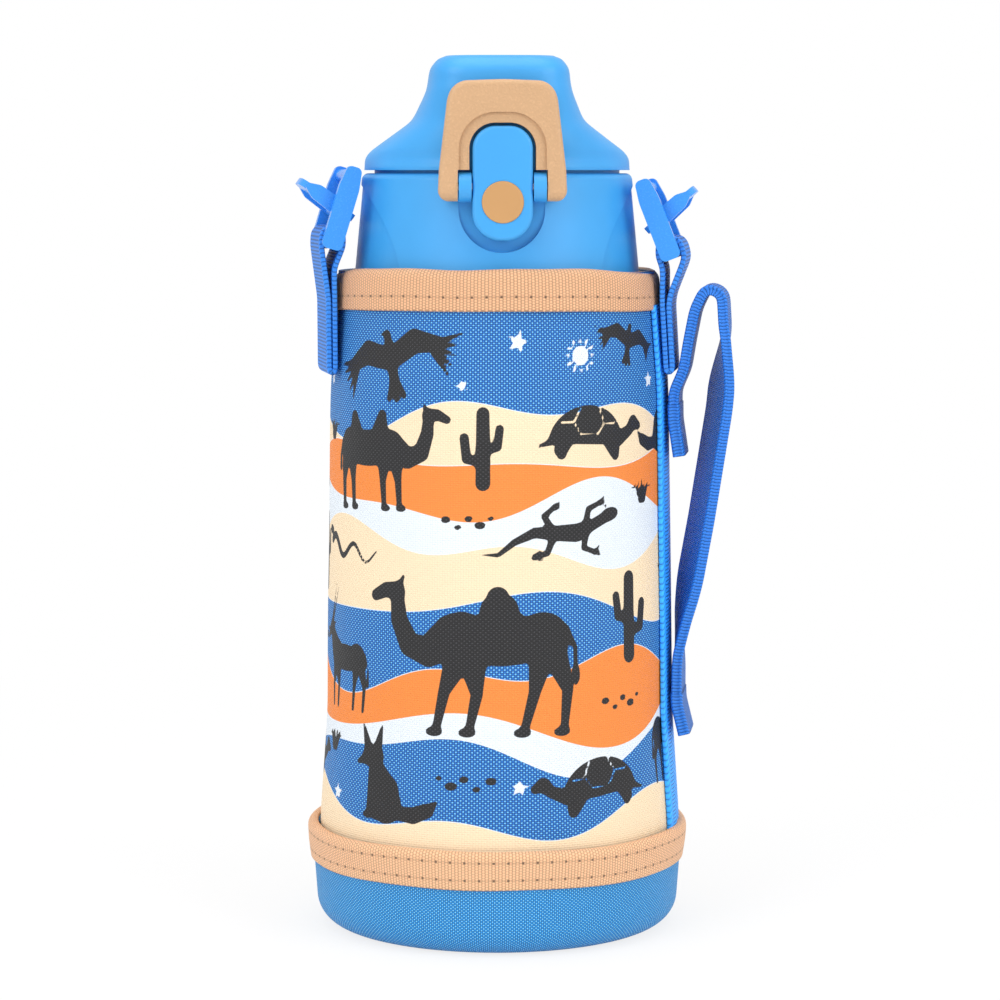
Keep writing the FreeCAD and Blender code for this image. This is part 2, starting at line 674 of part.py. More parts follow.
def lid():
    shell = lid_form(0).cut(lid_form(lid_wall))
    rib = turned_form([
        (liner_r, spout_top_z - 1.0), (liner_r + 1.5, spout_top_z - 1.0), (liner_r + 1.5, lid_top_z),
        (liner_r, lid_top_z),
    ]).common(lid_form(lid_wall / 2))
    pocket_half = nose_half + 0.5
    pocket_z = nose_low_z + nose_height + 2 * fit_gap
    pocket = box((-pocket_half, pocket_half), (-lid_r - 1, lid_pocket_y), (lid_low_z - 1, pocket_z))
    knuckles = []
    root_y = lid_r - 0.7 * lid_wall
    for low, high in ((knuckle_inner, knuckle_half), (-knuckle_half, -knuckle_inner)):
        knuckles.append(rod_x(hinge_ear_r, low, high, hinge_y, hinge_z))
        knuckles.append(slab([
            (hinge_y + hinge_ear_r, hinge_z, 0), (hinge_y + hinge_ear_r, lid_low_z + 5, 3),
            (root_y, lid_low_z + lid_skirt_height), (root_y, lid_low_z + 0.2), (hinge_y - 2.4, lid_low_z, 0),
            (hinge_y - 1.5, hinge_z),
        ], in_yz, low, high))
    body = shell.fuse(rib).cut(pocket).fuse(knuckles)
    return body.cut(rod_x(hinge_pin_r + pin_gap, -20, 20, hinge_y, hinge_z))


def lid_liner():
    """Inner cup that carries the seal over the spout."""
    low = spout_top_z + fit_gap + seal_thick
    high = low + liner_height
    return turned_form([
        (0, low), (liner_r, low), (liner_r, high, 1.2), (spout_r - 2, high, 1.2), (spout_r - 4, low + 2, 1),
        (0, low + 2),
    ])


def spout_seal():
    low = spout_top_z + fit_gap
    return turned_form([
        (0, low), (liner_r - 0.7, low, 0.5), (liner_r - 0.7, low + seal_thick), (0, low + seal_thick),
    ])


# ---- latch
def release_lever():
    half = lever_half
    body = slab([
        (-half, lever_low_z, half - 0.6), (half, lever_low_z, half - 0.6),
        (half, lever_top_z, lever_round), (-half, lever_top_z, lever_round),
    ], in_xz, lever_front_y, lever_back_y)
    front_edges = [e for e in body.Edges if abs(e.BoundBox.YMax - lever_front_y) < 0.01]
    body = body.makeFillet(1.1, front_edges)
    nose = slab([
        (lever_back_y - 0.5, nose_low_z), (nose_tip_y, nose_low_z),
        (nose_tip_y, nose_low_z + 0.4 * nose_height),
        (lever_back_y - 0.5, nose_low_z + 1.4 * nose_height),
    ], in_yz, -nose_half, nose_half)
    seat = Part.makeCylinder(
        button_r, button_seat, Vector(0, lever_front_y + button_seat, button_z), Vector(0, -1, 0))
    well_back = Vector(0, lever_back_y + 0.1, well_z)
    well = Part.makeCylinder(well_r, well_depth + 0.1, well_back, Vector(0, -1, 0))
    bore = rod_x(latch_pin_r + pin_gap, -20, 20, latch_y, latch_z)
    return body.fuse(nose).cut([seat, well, bore])


def button_cap():
    seat = Vector(0, lever_front_y + button_seat, button_z)
    disc = Part.makeCylinder(button_r - 0.05, button_seat + 0.3, seat, Vector(0, -1, 0))
    front_y = lever_front_y - 0.3
    rim = [e for e in disc.Edges if abs(e.BoundBox.YMin - front_y) < 0.01 and len(e.Vertexes) == 1]
    return disc.makeFillet(0.25, rim)


def lock_ring():
    inner, outer = arm_inner, arm_inner + arm_width
    rim, rim_round = lever_half + 0.9, lever_round + 0.9
    rim_low = latch_z + ear_r + 0.5
    arch_top = lever_top_z + 0.9
    ring_top_z = arch_top + ring_crown
    through_y = ring_front_y - 1, ring_back_y + 1
    right = [
        (outer, ring_low_z, 3.0), (outer - 0.4, rim_low, 20), (ring_top_half + 0.6, ring_top_z - 5.0, 8),
        (ring_top_half - 1, ring_top_z, ring_corner),
    ]
    left = [(-x, z, round_r) for x, z, round_r in right]
    plate = slab(right + [(0, ring_top_z + 0.5, 60)] + left[::-1], in_xz, ring_front_y, ring_back_y)
    gap_low = box((-inner, inner), through_y, (ring_low_z - 5, rim_low))
    arch = slab([
        (-rim, rim_low - 1), (rim, rim_low - 1), (rim, arch_top, rim_round), (-rim, arch_top, rim_round),
    ], in_xz, *through_y)
    step_r = rim + ring_rim_width
    step = slab([
        (-step_r, rim_low - 1), (step_r, rim_low - 1),
        (step_r, arch_top + ring_rim_width, rim_round + ring_rim_width),
        (-step_r, arch_top + ring_rim_width, rim_round + ring_rim_width),
    ], in_xz, ring_front_y - 1, ring_front_y + ring_rim_step)
    front_edges = [e for e in plate.Edges if abs(e.BoundBox.YMax - ring_front_y) < 0.01]
    plate = plate.makeFillet(1.4, front_edges)
    bore = rod_x(latch_pin_r + pin_gap, 1.2 - outer, outer - 1.2, latch_y, latch_z)
    heel = slab([
        (ring_front_y, ring_low_z, ring_heel), (ring_back_y, ring_low_z, ring_heel),
        (ring_back_y, ring_top_z + 5), (ring_front_y, ring_top_z + 5),
    ], in_yz, -outer - 1, outer + 1)
    return plate.cut([gap_low, arch, step, bore]).common(heel)


def build():
    left_frame, left_lever = buckle_pieces("left")
    right_frame, right_lever = buckle_pieces("right")
    made = {
        "base_cup": base_cup(), "base_pad": base_pad(),
        "sleeve": sleeve(), "sleeve_padding": sleeve_padding(),
        "top_binding": top_binding(), "base_binding": base_binding(),
        "side_webbing": on_pouch(side_webbing()), "hand_strap": on_pouch(hand_strap()),
        "hand_strap_top_tab": on_pouch(strap_tab(top_tab_line)),
        "hand_strap_bottom_tab": on_pouch(strap_tab(bottom_tab_line)),
        "left_buckle_frame": left_frame, "left_buckle_lever": left_lever,
        "right_buckle_frame": right_frame, "right_buckle_lever": right_lever,
        "bottle_foot": foot(), "outer_vessel": outer_vessel(), "inner_vessel": inner_vessel(),
        "vessel_bottom": vessel_bottom(), "mouth_gasket": mouth_gasket(),
        "collar": collar(), "drinking_spout": spout(), "collar_gasket": deck_gasket(),
        "lid_hinge_pin": hinge_pin(), "latch_pin": latch_pin(), "lid_spring": hinge_spring(),
        "button_spring": button_spring(), "lid": lid(), "lid_liner": lid_liner(), "spout_seal": spout_seal(),
        "release_lever": release_lever(), "button_cap": button_cap(), "lock_ring": lock_ring(),
    }
    for side, under, slack in (("left", 0.0, left_loop_slack), ("right", webbing, right_loop_slack)):
        angle, bar_x, bar_z = buckle_places[side][:3]
        made[f"{side}_strap_loop"] = on_pouch(strap_loop(bar_x, bar_z, under, slack), angle)
    return made


def export(nodes):
    for name, shape in nodes.items():
        shape.exportStep(f"parts/{name}.step")
        print(f"{name:24s} solids {len(shape.Solids)} volume {shape.Volume:10.1f} valid {shape.isValid()}")


os.makedirs("parts", exist_ok=True)
export(build())
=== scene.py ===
"""Child's insulated bottle in a printed fabric pouch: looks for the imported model.

Lengths inside the shape functions are millimetres, +Z up, and the latch faces -Y.
to_mesh turns them into metres. Angles around the bottle are measured from +X.
"""
import json
import math

import bmesh
import bpy
import numpy as np
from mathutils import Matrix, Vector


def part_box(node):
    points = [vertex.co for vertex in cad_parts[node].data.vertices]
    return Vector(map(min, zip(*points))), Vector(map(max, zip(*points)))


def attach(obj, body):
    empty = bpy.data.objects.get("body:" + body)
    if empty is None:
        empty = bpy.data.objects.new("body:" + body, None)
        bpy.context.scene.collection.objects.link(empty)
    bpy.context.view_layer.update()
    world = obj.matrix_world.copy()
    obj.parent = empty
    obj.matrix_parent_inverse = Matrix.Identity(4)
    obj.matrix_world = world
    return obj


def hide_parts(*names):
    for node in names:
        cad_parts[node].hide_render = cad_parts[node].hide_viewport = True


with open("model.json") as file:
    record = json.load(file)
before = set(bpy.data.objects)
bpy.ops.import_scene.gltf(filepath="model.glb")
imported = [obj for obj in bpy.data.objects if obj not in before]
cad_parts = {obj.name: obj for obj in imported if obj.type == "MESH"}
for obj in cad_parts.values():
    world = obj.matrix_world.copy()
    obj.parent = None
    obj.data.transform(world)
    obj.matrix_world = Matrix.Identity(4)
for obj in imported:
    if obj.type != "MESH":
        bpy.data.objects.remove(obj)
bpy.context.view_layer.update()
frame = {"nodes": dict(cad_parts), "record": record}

TAU = 2 * math.pi


def top_of(node):
    """Height of a node's highest point, in millimetres."""
    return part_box(node)[1][2] * 1000


def buckle_bar(side):
    """The bar that a strap loop holds: its angle round the pouch, its distance from the axis, its height."""
    for joint in frame["record"]["behaviour"]["joints"]:
        if joint["name"] == side + "_buckle_swing":
            x, y, z = (1000 * c for c in joint["pos_m"])
            return math.atan2(y, x), math.hypot(x, y), z
    raise KeyError(side)


SIDE = {side: buckle_bar(side)[0] for side in ("left", "right")}
POUCH_TURN = SIDE["right"]
RIM = top_of("sleeve")
CUP_TOP = top_of("base_cup")
CUP_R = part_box("base_cup")[1][0] * 1000
VESSEL_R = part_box("outer_vessel")[1][0] * 1000
SLEEVE_LOW_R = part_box("sleeve")[1][0] * 1000


# ------------------------------------------------------------------ meshes
def to_mesh(name, points, quads, body, uv=None, fields=None):
    """One mesh from an (n, 3) array of millimetre points and an (m, 4) array of corner numbers.

    uv is an (n, 2) array spread to the corners. fields maps attribute names to one value a point."""
    mesh = bpy.data.meshes.new(name)
    mesh.vertices.add(len(points))
    mesh.vertices.foreach_set("co", (np.asarray(points, float) / 1000).ravel())
    quads = np.asarray(quads, np.int32)
    mesh.loops.add(quads.size)
    mesh.loops.foreach_set("vertex_index", quads.ravel())
    mesh.polygons.add(len(quads))
    mesh.polygons.foreach_set("loop_start", np.arange(0, quads.size, 4, dtype=np.int32))
    mesh.polygons.foreach_set("loop_total", np.full(len(quads), 4, np.int32))
    mesh.update(calc_edges=True)
    if uv is not None:
        layer = mesh.uv_layers.new(name="UVMap")
        layer.data.foreach_set("uv", np.asarray(uv, float)[quads.ravel()].ravel())
    for field, values in (fields or {}).items():
        layer = mesh.attributes.new(field, "FLOAT", "POINT")
        layer.data.foreach_set("value", np.asarray(values, np.float32).ravel())
    mesh.polygons.foreach_set("use_smooth", np.full(len(quads), True))
    mesh.validate()
    piece = bpy.data.objects.new(name, mesh)
    bpy.context.scene.collection.objects.link(piece)
    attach(piece, body)
    return piece


def grid_quads(rows, columns, wrap_rows, wrap_columns, flip=False):
    """Corner numbers of a rows by columns grid: each cell joins (i, j), (i, j+1), (i+1, j+1), (i+1, j)."""
    i, j = np.meshgrid(
        np.arange(rows if wrap_rows else rows - 1),
        np.arange(columns if wrap_columns else columns - 1), indexing="ij")
    i2, j2 = (i + 1) % rows, (j + 1) % columns
    corners = [i * columns + j, i * columns + j2, i2 * columns + j2, i2 * columns + j]
    return np.stack([c.ravel() for c in (corners[::-1] if flip else corners)], axis=1)


def rounded_profile(corners, step=0.5):
    """Closed outline through (a, b, round) corners, each round one an arc tangent to both sides."""
    corners = [np.array(c, float) for c in corners]
    out = []
    for k, c in enumerate(corners):
        here, round_r = c[:2], (c[2] if len(c) > 2 else 0)
        back, ahead = corners[k - 1][:2] - here, corners[(k + 1) % len(corners)][:2] - here
        back, ahead = back / np.hypot(*back), ahead / np.hypot(*ahead)
        half = math.acos(max(-1, min(1, float(back @ ahead)))) / 2
        if round_r <= 0 or half > 1.565:
            out.append(here[None])
            continue
        cut, bow = round_r / math.tan(half), back + ahead
        centre = here + bow / np.hypot(*bow) * round_r / math.sin(half)
        start, end = here + back * cut - centre, here + ahead * cut - centre
        a0, a1 = math.atan2(start[1], start[0]), math.atan2(end[1], end[0])
        turn = (a1 - a0 + math.pi) % TAU - math.pi
        a = a0 + turn * np.linspace(0, 1, max(3, int(abs(turn) * round_r / step) + 2))
        out.append(centre + round_r * np.stack([np.cos(a), np.sin(a)], axis=1))
    return np.concatenate(out)


def along(line):
    """Distance along a line of points, starting at zero."""
    return np.concatenate([[0], np.cumsum(np.linalg.norm(np.diff(line, axis=0), axis=1))])


def turned(points, angle):
    """Points turned about the upright axis."""
    c, s = math.cos(angle), math.sin(angle)
    return np.asarray(points) @ np.array([[c, s, 0], [-s, c, 0], [0, 0, 1]])


# ------------------------------------------------------------------ desert print
def capsule(p, a, b, ra, rb=None):
    """Distance to a rod from a to b whose half width runs from ra to rb."""
    rb = ra if rb is None else rb
    ax, az, dx, dz = a[0], a[1], b[0] - a[0], b[1] - a[1]
    t = np.clip(((p[0] - ax) * dx + (p[1] - az) * dz) / (dx * dx + dz * dz + 1e-9), 0, 1)
    return np.hypot(p[0] - ax - dx * t, p[1] - az - dz * t) - (ra + (rb - ra) * t)


def oval(p, centre, rx, rz):
    """Distance to an oval, near enough at its edge: (k - 1) k / |grad k| with k the scaled radius."""
    x, z = p[0] - centre[0], p[1] - centre[1]
    k = np.hypot(x / rx, z / rz)
    return (k - 1) * k / (np.hypot(x / rx**2, z / rz**2) + 1e-6)


def chain(p, points, widths):
    """Rods joined end to end through the points."""
    pairs = zip(points, points[1:], widths, widths[1:])
    return np.minimum.reduce([capsule(p, a, b, ra, rb) for a, b, ra, rb in pairs])


def joined(shapes, soft=1.3):
    """Shapes run together: least distance less soft h^2 / 4, where h = max(1 - |a - b| / soft, 0)."""
    total = shapes[0]
    for shape in shapes[1:]:
        h = np.maximum(1 - np.abs(total - shape) / soft, 0)
        total = np.minimum(total, shape) - soft * h * h / 4
    return total


def camel(p):
    """One hump, walking: a deep chest, an S-curved neck, long legs with round feet."""
    shapes = [
        oval(p, (0, 28), 16, 7.4), oval(p, (-11, 27.4), 7.6, 8.6), oval(p, (12, 28.4), 7.8, 7.4),
        chain(p, [(0, 30), (-0.4, 36), (-0.8, 40)], [8.6, 5.6, 3.2]),
        chain(p, [(-14, 28.6), (-21, 24.2), (-27, 25.8), (-30.6, 32.6), (-31.4, 40)],
              [6.4, 4.4, 3.5, 2.9, 2.3]),
        chain(p, [(-31.4, 41), (-35.4, 41), (-39.4, 39.2)], [2.7, 2.2, 1.7]),
        capsule(p, (-30.4, 43), (-29.0, 45.6), 0.9, 0.4),
        chain(p, [(18.6, 30.4), (21.8, 25.4), (22, 19.4)], [1.4, 0.7, 0.6]), oval(p, (22.1, 17.2), 1.2, 2.6),
    ]
    for hip, knee, ankle in (
            ((-12, 23), (-16.2, 13), (-18.4, 2.8)), ((-8, 22), (-6.8, 12.4), (-8.8, 2.8)),
            ((12, 25), (9.6, 13), (6.8, 2.8)), ((15, 25), (19.4, 13.4), (18.4, 2.8))):
        shapes += [chain(p, [hip, knee, ankle], [4.2, 1.75, 1.2]), oval(p, (ankle[0] - 0.8, 1.4), 2.5, 1.35)]
    return joined(shapes)


def two_hump_camel(p):
    """Two humps leaning a little apart, standing with its head up."""
    shapes = [
        oval(p, (0, 20), 14, 5.8), oval(p, (-9, 19.6), 6.4, 6.6), oval(p, (10, 20.6), 6, 5.8),
        capsule(p, (-5.4, 22), (-7, 30.4), 5, 1.9), capsule(p, (5.8, 22), (6.8, 30), 5, 1.9),
        chain(p, [(-11, 20.4), (-17, 17), (-22, 18.6), (-24.4, 24.6), (-25, 29.4)], [5, 3.4, 2.8, 2.3, 1.9]),
        chain(p, [(-25, 30.6), (-28.2, 30.6), (-31.4, 29)], [2.2, 1.8, 1.3]),
        capsule(p, (-24.2, 32.4), (-23.2, 34.2), 0.75, 0.4),
        chain(p, [(15.4, 21.5), (17.6, 17), (17.4, 13)], [1.2, 0.6, 0.9]),
    ]
    for x, lean in ((-12, -1.2), (-7.6, 0.7), (9, -0.8), (13, 1.4)):
        shapes += [chain(p, [(x, 18), (x + lean, 9.6), (x + lean - 0.3, 2)], [3.2, 1.35, 1.0]),
                   oval(p, (x + lean - 0.9, 1.0), 2.0, 1.1)]
    return joined(shapes, 1.0)


def oryx(p):
    """A slender antelope with two long straight horns swept back."""
    shapes = [
        oval(p, (0, 22), 13, 5.6), oval(p, (-8.6, 22.4), 6.2, 6.6), oval(p, (9, 22.8), 6, 6),
        chain(p, [(-11, 25), (-15.4, 31), (-16.6, 33.4)], [5.4, 3.2, 2.6]),
        capsule(p, (-17.4, 33.4), (-23, 28.4), 2.5, 1.3),
        capsule(p, (-15.8, 35), (-7.6, 51), 0.75, 0.3), capsule(p, (-17.2, 35.4), (-10.4, 52), 0.75, 0.3),
        capsule(p, (-14.6, 34.4), (-11.6, 35.4), 1.0, 0.4),
        chain(p, [(14.4, 24), (16.6, 18), (16.2, 12)], [1.1, 0.5, 1.0]),
    ]
    for hip, knee, foot in (
            ((-10.4, 18), (-12, 9.6), (-11.6, 0.8)), ((-7.4, 18), (-6.2, 9.6), (-6.8, 0.8)),
            ((8.6, 20), (7, 9.8), (6.2, 0.8)), ((11.6, 20), (14.2, 10.4), (13.2, 0.8))):
        shapes.append(chain(p, [hip, knee, foot], [2.9, 1.05, 0.85]))
    return joined(shapes, 0.9)


def fennec(p):
    """A small desert fox sitting, with tall ears and its brush laid out behind."""
    return joined([
        chain(p, [(1.6, 4.6), (1.2, 9), (-2.2, 14.4)], [5.6, 4.8, 3.2]), oval(p, (-4.2, 18.4), 4.4, 3.3),
        capsule(p, (-6.6, 17.6), (-10.4, 16.2), 2.0, 0.7), capsule(p, (-6.0, 20), (-8.6, 27.6), 2.0, 0.4),
        capsule(p, (-2.6, 20.2), (-0.8, 27.8), 2.0, 0.4),
        chain(p, [(-3.6, 13), (-4.6, 6), (-5.0, 1.2)], [2.2, 1.3, 1.1]),
        capsule(p, (-1.8, 10), (-2.2, 1.2), 1.8, 1.1), oval(p, (-5.6, 0.9), 1.9, 0.9),
        oval(p, (-1.4, 0.9), 3.0, 0.9),
        chain(p, [(5.6, 2.6), (11, 2.4), (15.4, 4.2), (18, 6.6)], [2.0, 2.5, 2.2, 0.6]),
    ], 1.0)


def cactus(p):
    """A trunk with an upturned arm on each side."""
    return joined([
        capsule(p, (0, 0), (0, 23), 2.5, 2.2), chain(p, [(0, 7), (-5.5, 8), (-6.3, 15)], [1.7, 1.6, 1.6]),
        chain(p, [(0, 11), (4.8, 12), (5.6, 18)], [1.6, 1.5, 1.4]),
    ], 1.6)


def tortoise(p):
    """A high shell with scutes, a short neck with a blunt head, thick legs and a stub of tail."""
    shell = np.maximum(oval(p, (0, 4.6), 12.6, 10.6), 5.4 - p[1])
    scutes = [chain(p, [(-9, 10.2), (-5.2, 10.4), (-2.8, 7), (2.8, 7), (5.2, 10.4), (9, 10.2)], [0.3] * 6),
              capsule(p, (-5.2, 10.4), (-3.2, 14.4), 0.3), capsule(p, (5.2, 10.4), (3.2, 14.4), 0.3)]
    shell = np.maximum(shell, -np.minimum.reduce(scutes))
    return joined([shell,
        capsule(p, (-11.6, 5.4), (11.6, 5.4), 1.1),
        chain(p, [(-11, 6), (-15.4, 8.2), (-17.2, 10.2)], [2.2, 1.7, 1.9]),
        capsule(p, (-17.6, 10.4), (-19.8, 9.6), 2.2, 1.3), capsule(p, (11.6, 4.8), (15.4, 3.4), 1.0, 0.4),
        chain(p, [(-8, 5), (-9.4, 2.6), (-9.8, 1.4)], [2.7, 2.1, 1.5]),
        chain(p, [(8, 5), (8.8, 2.6), (8.6, 1.4)], [2.7, 2.1, 1.5]),
    ], 0.7)


def lizard(p):
    """Seen from above: a wavy body and tail with four bent legs."""
    spine = [(-15, 2), (-9, 0.6), (-2, -0.6), (5, 0.8), (12, 2.4), (19, 0.6), (25, -2.6), (30, -1.4)]
    shapes = [chain(p, spine, [1.9, 1.9, 3.0, 2.5, 1.7, 1.1, 0.7, 0.3]), oval(p, (-16.4, 2.3), 3.6, 2.2)]
    for hip, knee, foot in (
            ((-6, 1), (-8, 6), (-13, 7)), ((-6, -1), (-4, -6), (-8, -8.4)),
            ((6, 2), (8, 7), (4, 9.2)), ((6, 0), (9, -5), (13.5, -5.4))):
        shapes.append(chain(p, [hip, knee, foot], [1.3, 1.0, 0.8]))
        shapes += [capsule(p, foot, (foot[0] - 2.2, foot[1] + t), 0.5, 0.25) for t in (-1.7, 0, 1.7)]
    return joined(shapes, 0.9)


def vulture(p):
    """Gliding, tilted: broad wings with parted feathers at their tips, a fanned tail and a small head."""
    shapes = [capsule(p, (0, 3.6), (0.4, -5), 2.3, 1.7), capsule(p, (0, 4), (-0.4, 7.6), 1.6, 1.4),
              capsule(p, (-0.6, 8), (-2.6, 8.4), 1.1, 0.3)]
    shapes += [capsule(p, (0.4, -4), (0.4 + t, -10.6 + abs(t) * 0.25), 1.2, 0.95) for t in (-2.6, 0, 2.6)]
    for way in (-1, 1):
        wing = [(way * 1.4, 1.2), (way * 9, 4.2), (way * 16.4, 2.0)]
        shapes.append(chain(p, wing, [3.2, 3.5, 2.2]))
        for t in range(5):
            tip = (way * (24 - t * 1.5), 3.4 - t * 2.7)
            shapes.append(capsule(p, (way * 15, 2.4 - t * 0.7), tip, 1.15, 0.3))
    return joined(shapes, 0.6)


def snake(p):
    """Three bends, a pointed tail and a raised head."""
    x = np.linspace(-16, 17, 23)
    body = [(a, 2.8 * math.sin(a * 0.42) + (0.35 * (-a - 10) if a < -10 else 0)) for a in x]
    return joined([chain(p, body, list(np.linspace(1.5, 0.35, 23))), oval(p, (-17.6, 4.4), 2.7, 1.7)], 1.0)


def pebbles(p):
    """Five stones strewn on the sand."""
    stones = (
        (-7, 1, 1.8, 1.2), (-2.6, -1.6, 1.3, 0.9), (1.2, 1.4, 1.5, 1.1), (5.2, -0.8, 2.0, 1.3),
        (9, 1.6, 1.1, 0.8),
    )
    return np.minimum.reduce([oval(p, (x, z), rx, rz) for x, z, rx, rz in stones])


def tuft(p):
    """Seven blades of dry grass."""
    blades = [[(b * 0.5, 0), (b * 1.2, 4.6), (b * 2.2, 8 - abs(b) * 0.9)] for b in range(-3, 4)]
    return np.minimum.reduce([chain(p, blade, [0.7, 0.5, 0.2]) for blade in blades])


def star(p):
    """Five points: the distance to a pentagram's edge, folded into one tenth of a turn."""
    a = np.mod(np.arctan2(p[0], p[1]) + math.pi / 5, TAU / 5) - math.pi / 5
    r = np.hypot(p[0], p[1])
    x, z = np.abs(r * np.sin(a)), r * np.cos(a)
    return (z - 3.6) * 0.309 + x * 0.951


def sun(p):
    """A disc inside twelve short rays."""
    a = np.mod(np.arctan2(p[0], p[1]) + TAU / 24, TAU / 12) - TAU / 24
    r = np.hypot(p[0], p[1])
    return np.minimum(r - 4.0, capsule((r * np.sin(a), r * np.cos(a)), (0, 5.8), (0, 8.0), 0.75, 0.35))


# motif, distance round from the front, height, size, mirrored, tilt in degrees
DARK_MOTIFS = [
    (camel, 7, 62, 0.98, False, 0), (vulture, -27, 166, 1.0, False, 12),
    (tortoise, 33, 139, 1.0, True, -3), (two_hump_camel, -35, 124, 0.88, True, 2),
    (cactus, 2, 133, 0.84, False, 0), (lizard, 27, 119, 0.86, True, 10), (snake, -45, 112, 0.8, False, -4),
    (cactus, 48, 83, 0.95, True, 0), (oryx, -46, 66, 0.68, False, 0), (fennec, -28, 37, 0.95, False, 0),
    (tortoise, 37, 40, 1.0, False, 6), (pebbles, -3, 122, 0.8, False, 0), (pebbles, -2, 49, 0.9, True, 0),
    (tuft, -52, 54, 0.85, False, 0), (tuft, 55, 126, 0.8, False, 0), (vulture, 50, 171, 0.6, True, -12),
    (tuft, -58, 143, 0.8, True, 0), (pebbles, 44, 70, 0.8, False, 0), (cactus, -67, 100, 0.85, False, 0),
    (oryx, 70, 44, 0.66, True, 0), (fennec, 68, 140, 0.8, True, 0), (camel, -98, 96, 0.82, True, 2),
    (tortoise, -76, 44, 0.95, True, 0), (vulture, -92, 162, 0.9, True, 8),
    (lizard, -112, 62, 0.9, False, -12), (cactus, -92, 66, 1.0, True, 0),
    (pebbles, -70, 86, 0.9, False, 0), (two_hump_camel, 96, 56, 0.9, True, -2),
    (snake, 82, 108, 1.0, True, 10), (cactus, 108, 96, 1.1, False, 0), (tortoise, 98, 148, 0.95, False, 4),
    (lizard, 124, 132, 0.85, True, 16), (fennec, 122, 36, 0.9, True, 0), (camel, 146, 62, 0.9, False, 0),
    (vulture, 142, 166, 1.0, False, -10), (oryx, -142, 118, 0.8, False, 0),
    (cactus, -128, 36, 0.9, True, 0), (fennec, -112, 140, 0.8, False, 0),
]
LIGHT_MOTIFS = [
    (star, -61, 160, 0.8, False, 10), (star, 12, 172, 1.0, False, -14), (star, -4, 160, 0.6, False, 20),
    (sun, 31, 168, 0.66, False, 0), (star, 60, 160, 0.8, False, 0), (star, -18, 88, 0.75, False, 16),
    (star, 12, 48, 0.8, False, -8), (star, -74, 168, 0.9, False, 8), (star, -112, 168, 0.7, False, -8),
    (sun, 104, 170, 0.7, False, 0), (star, 78, 168, 0.9, False, 12), (star, -48, 42, 0.8, False, 0),
    (star, 100, 78, 0.9, False, 14), (star, -100, 48, 0.8, False, -10), (star, 126, 80, 0.7, False, 5),
]
GIRTH = 308.0


def motif_field(around, height, motifs):
    """The least distance to any motif, each one turned by its tilt, sized and set in its place."""
    field = np.full(around.shape, 9.0)
    for shape, u, z, size, mirrored, tilt in motifs:
        du = np.mod(around - u + GIRTH / 2, GIRTH) - GIRTH / 2
        near = (np.abs(du) < 48 * size) & (np.abs(height - z - 18 * size) < 36 * size)
        c, s = math.cos(math.radians(tilt)), math.sin(math.radians(tilt))
        x, y = du[near] / size, (height[near] - z) / size
        x, y = x * c + y * s, y * c - x * s
        field[near] = np.minimum(field[near], shape((-x if mirrored else x, y)) * size)
    return field


def dune_line(a, level, waves):
    """Height of a dune's crest: its level plus whole waves round the pouch."""
    return level + sum(size * np.sin(n * a + start) for n, size, start in waves)


# level, waves (count round, height, start) and colour of each dune, the highest first
DUNES = [
    (150, ((2, 5.0, 0.9), (5, 3.0, 2.6)), "sand"), (139, ((3, 4.0, 3.7), (4, 3.5, 0.4)), "clay"),
    (127, ((3, 4.5, 5.6), (5, 2.6, 4.0)), "chalk"), (115, ((2, 4.0, 3.4), (5, 3.4, 0.2)), "sand"),
    (98, ((3, 5.0, 1.2), (4, 3.0, 5.2)), "ground"), (79, ((2, 4.0, 0.1), (5, 3.6, 3.0)), "clay"),
    (64, ((3, 4.4, 2.6), (4, 2.6, 1.0)), "chalk"), (57, ((3, 4.4, 2.9), (5, 2.6, 1.5)), "ground"),
    (39, ((2, 4.0, 4.6), (5, 3.2, 2.2)), "sand"),
]


# ------------------------------------------------------------------ finishes
def srgb(red, green, blue):
    """A screen colour, 0 to 255, as the linear values that a shader takes."""
    part = [c / 255 for c in (red, green, blue)]
    return tuple(c / 12.92 if c <= 0.04045 else ((c + 0.055) / 1.055) ** 2.4 for c in part) + (1.0,)


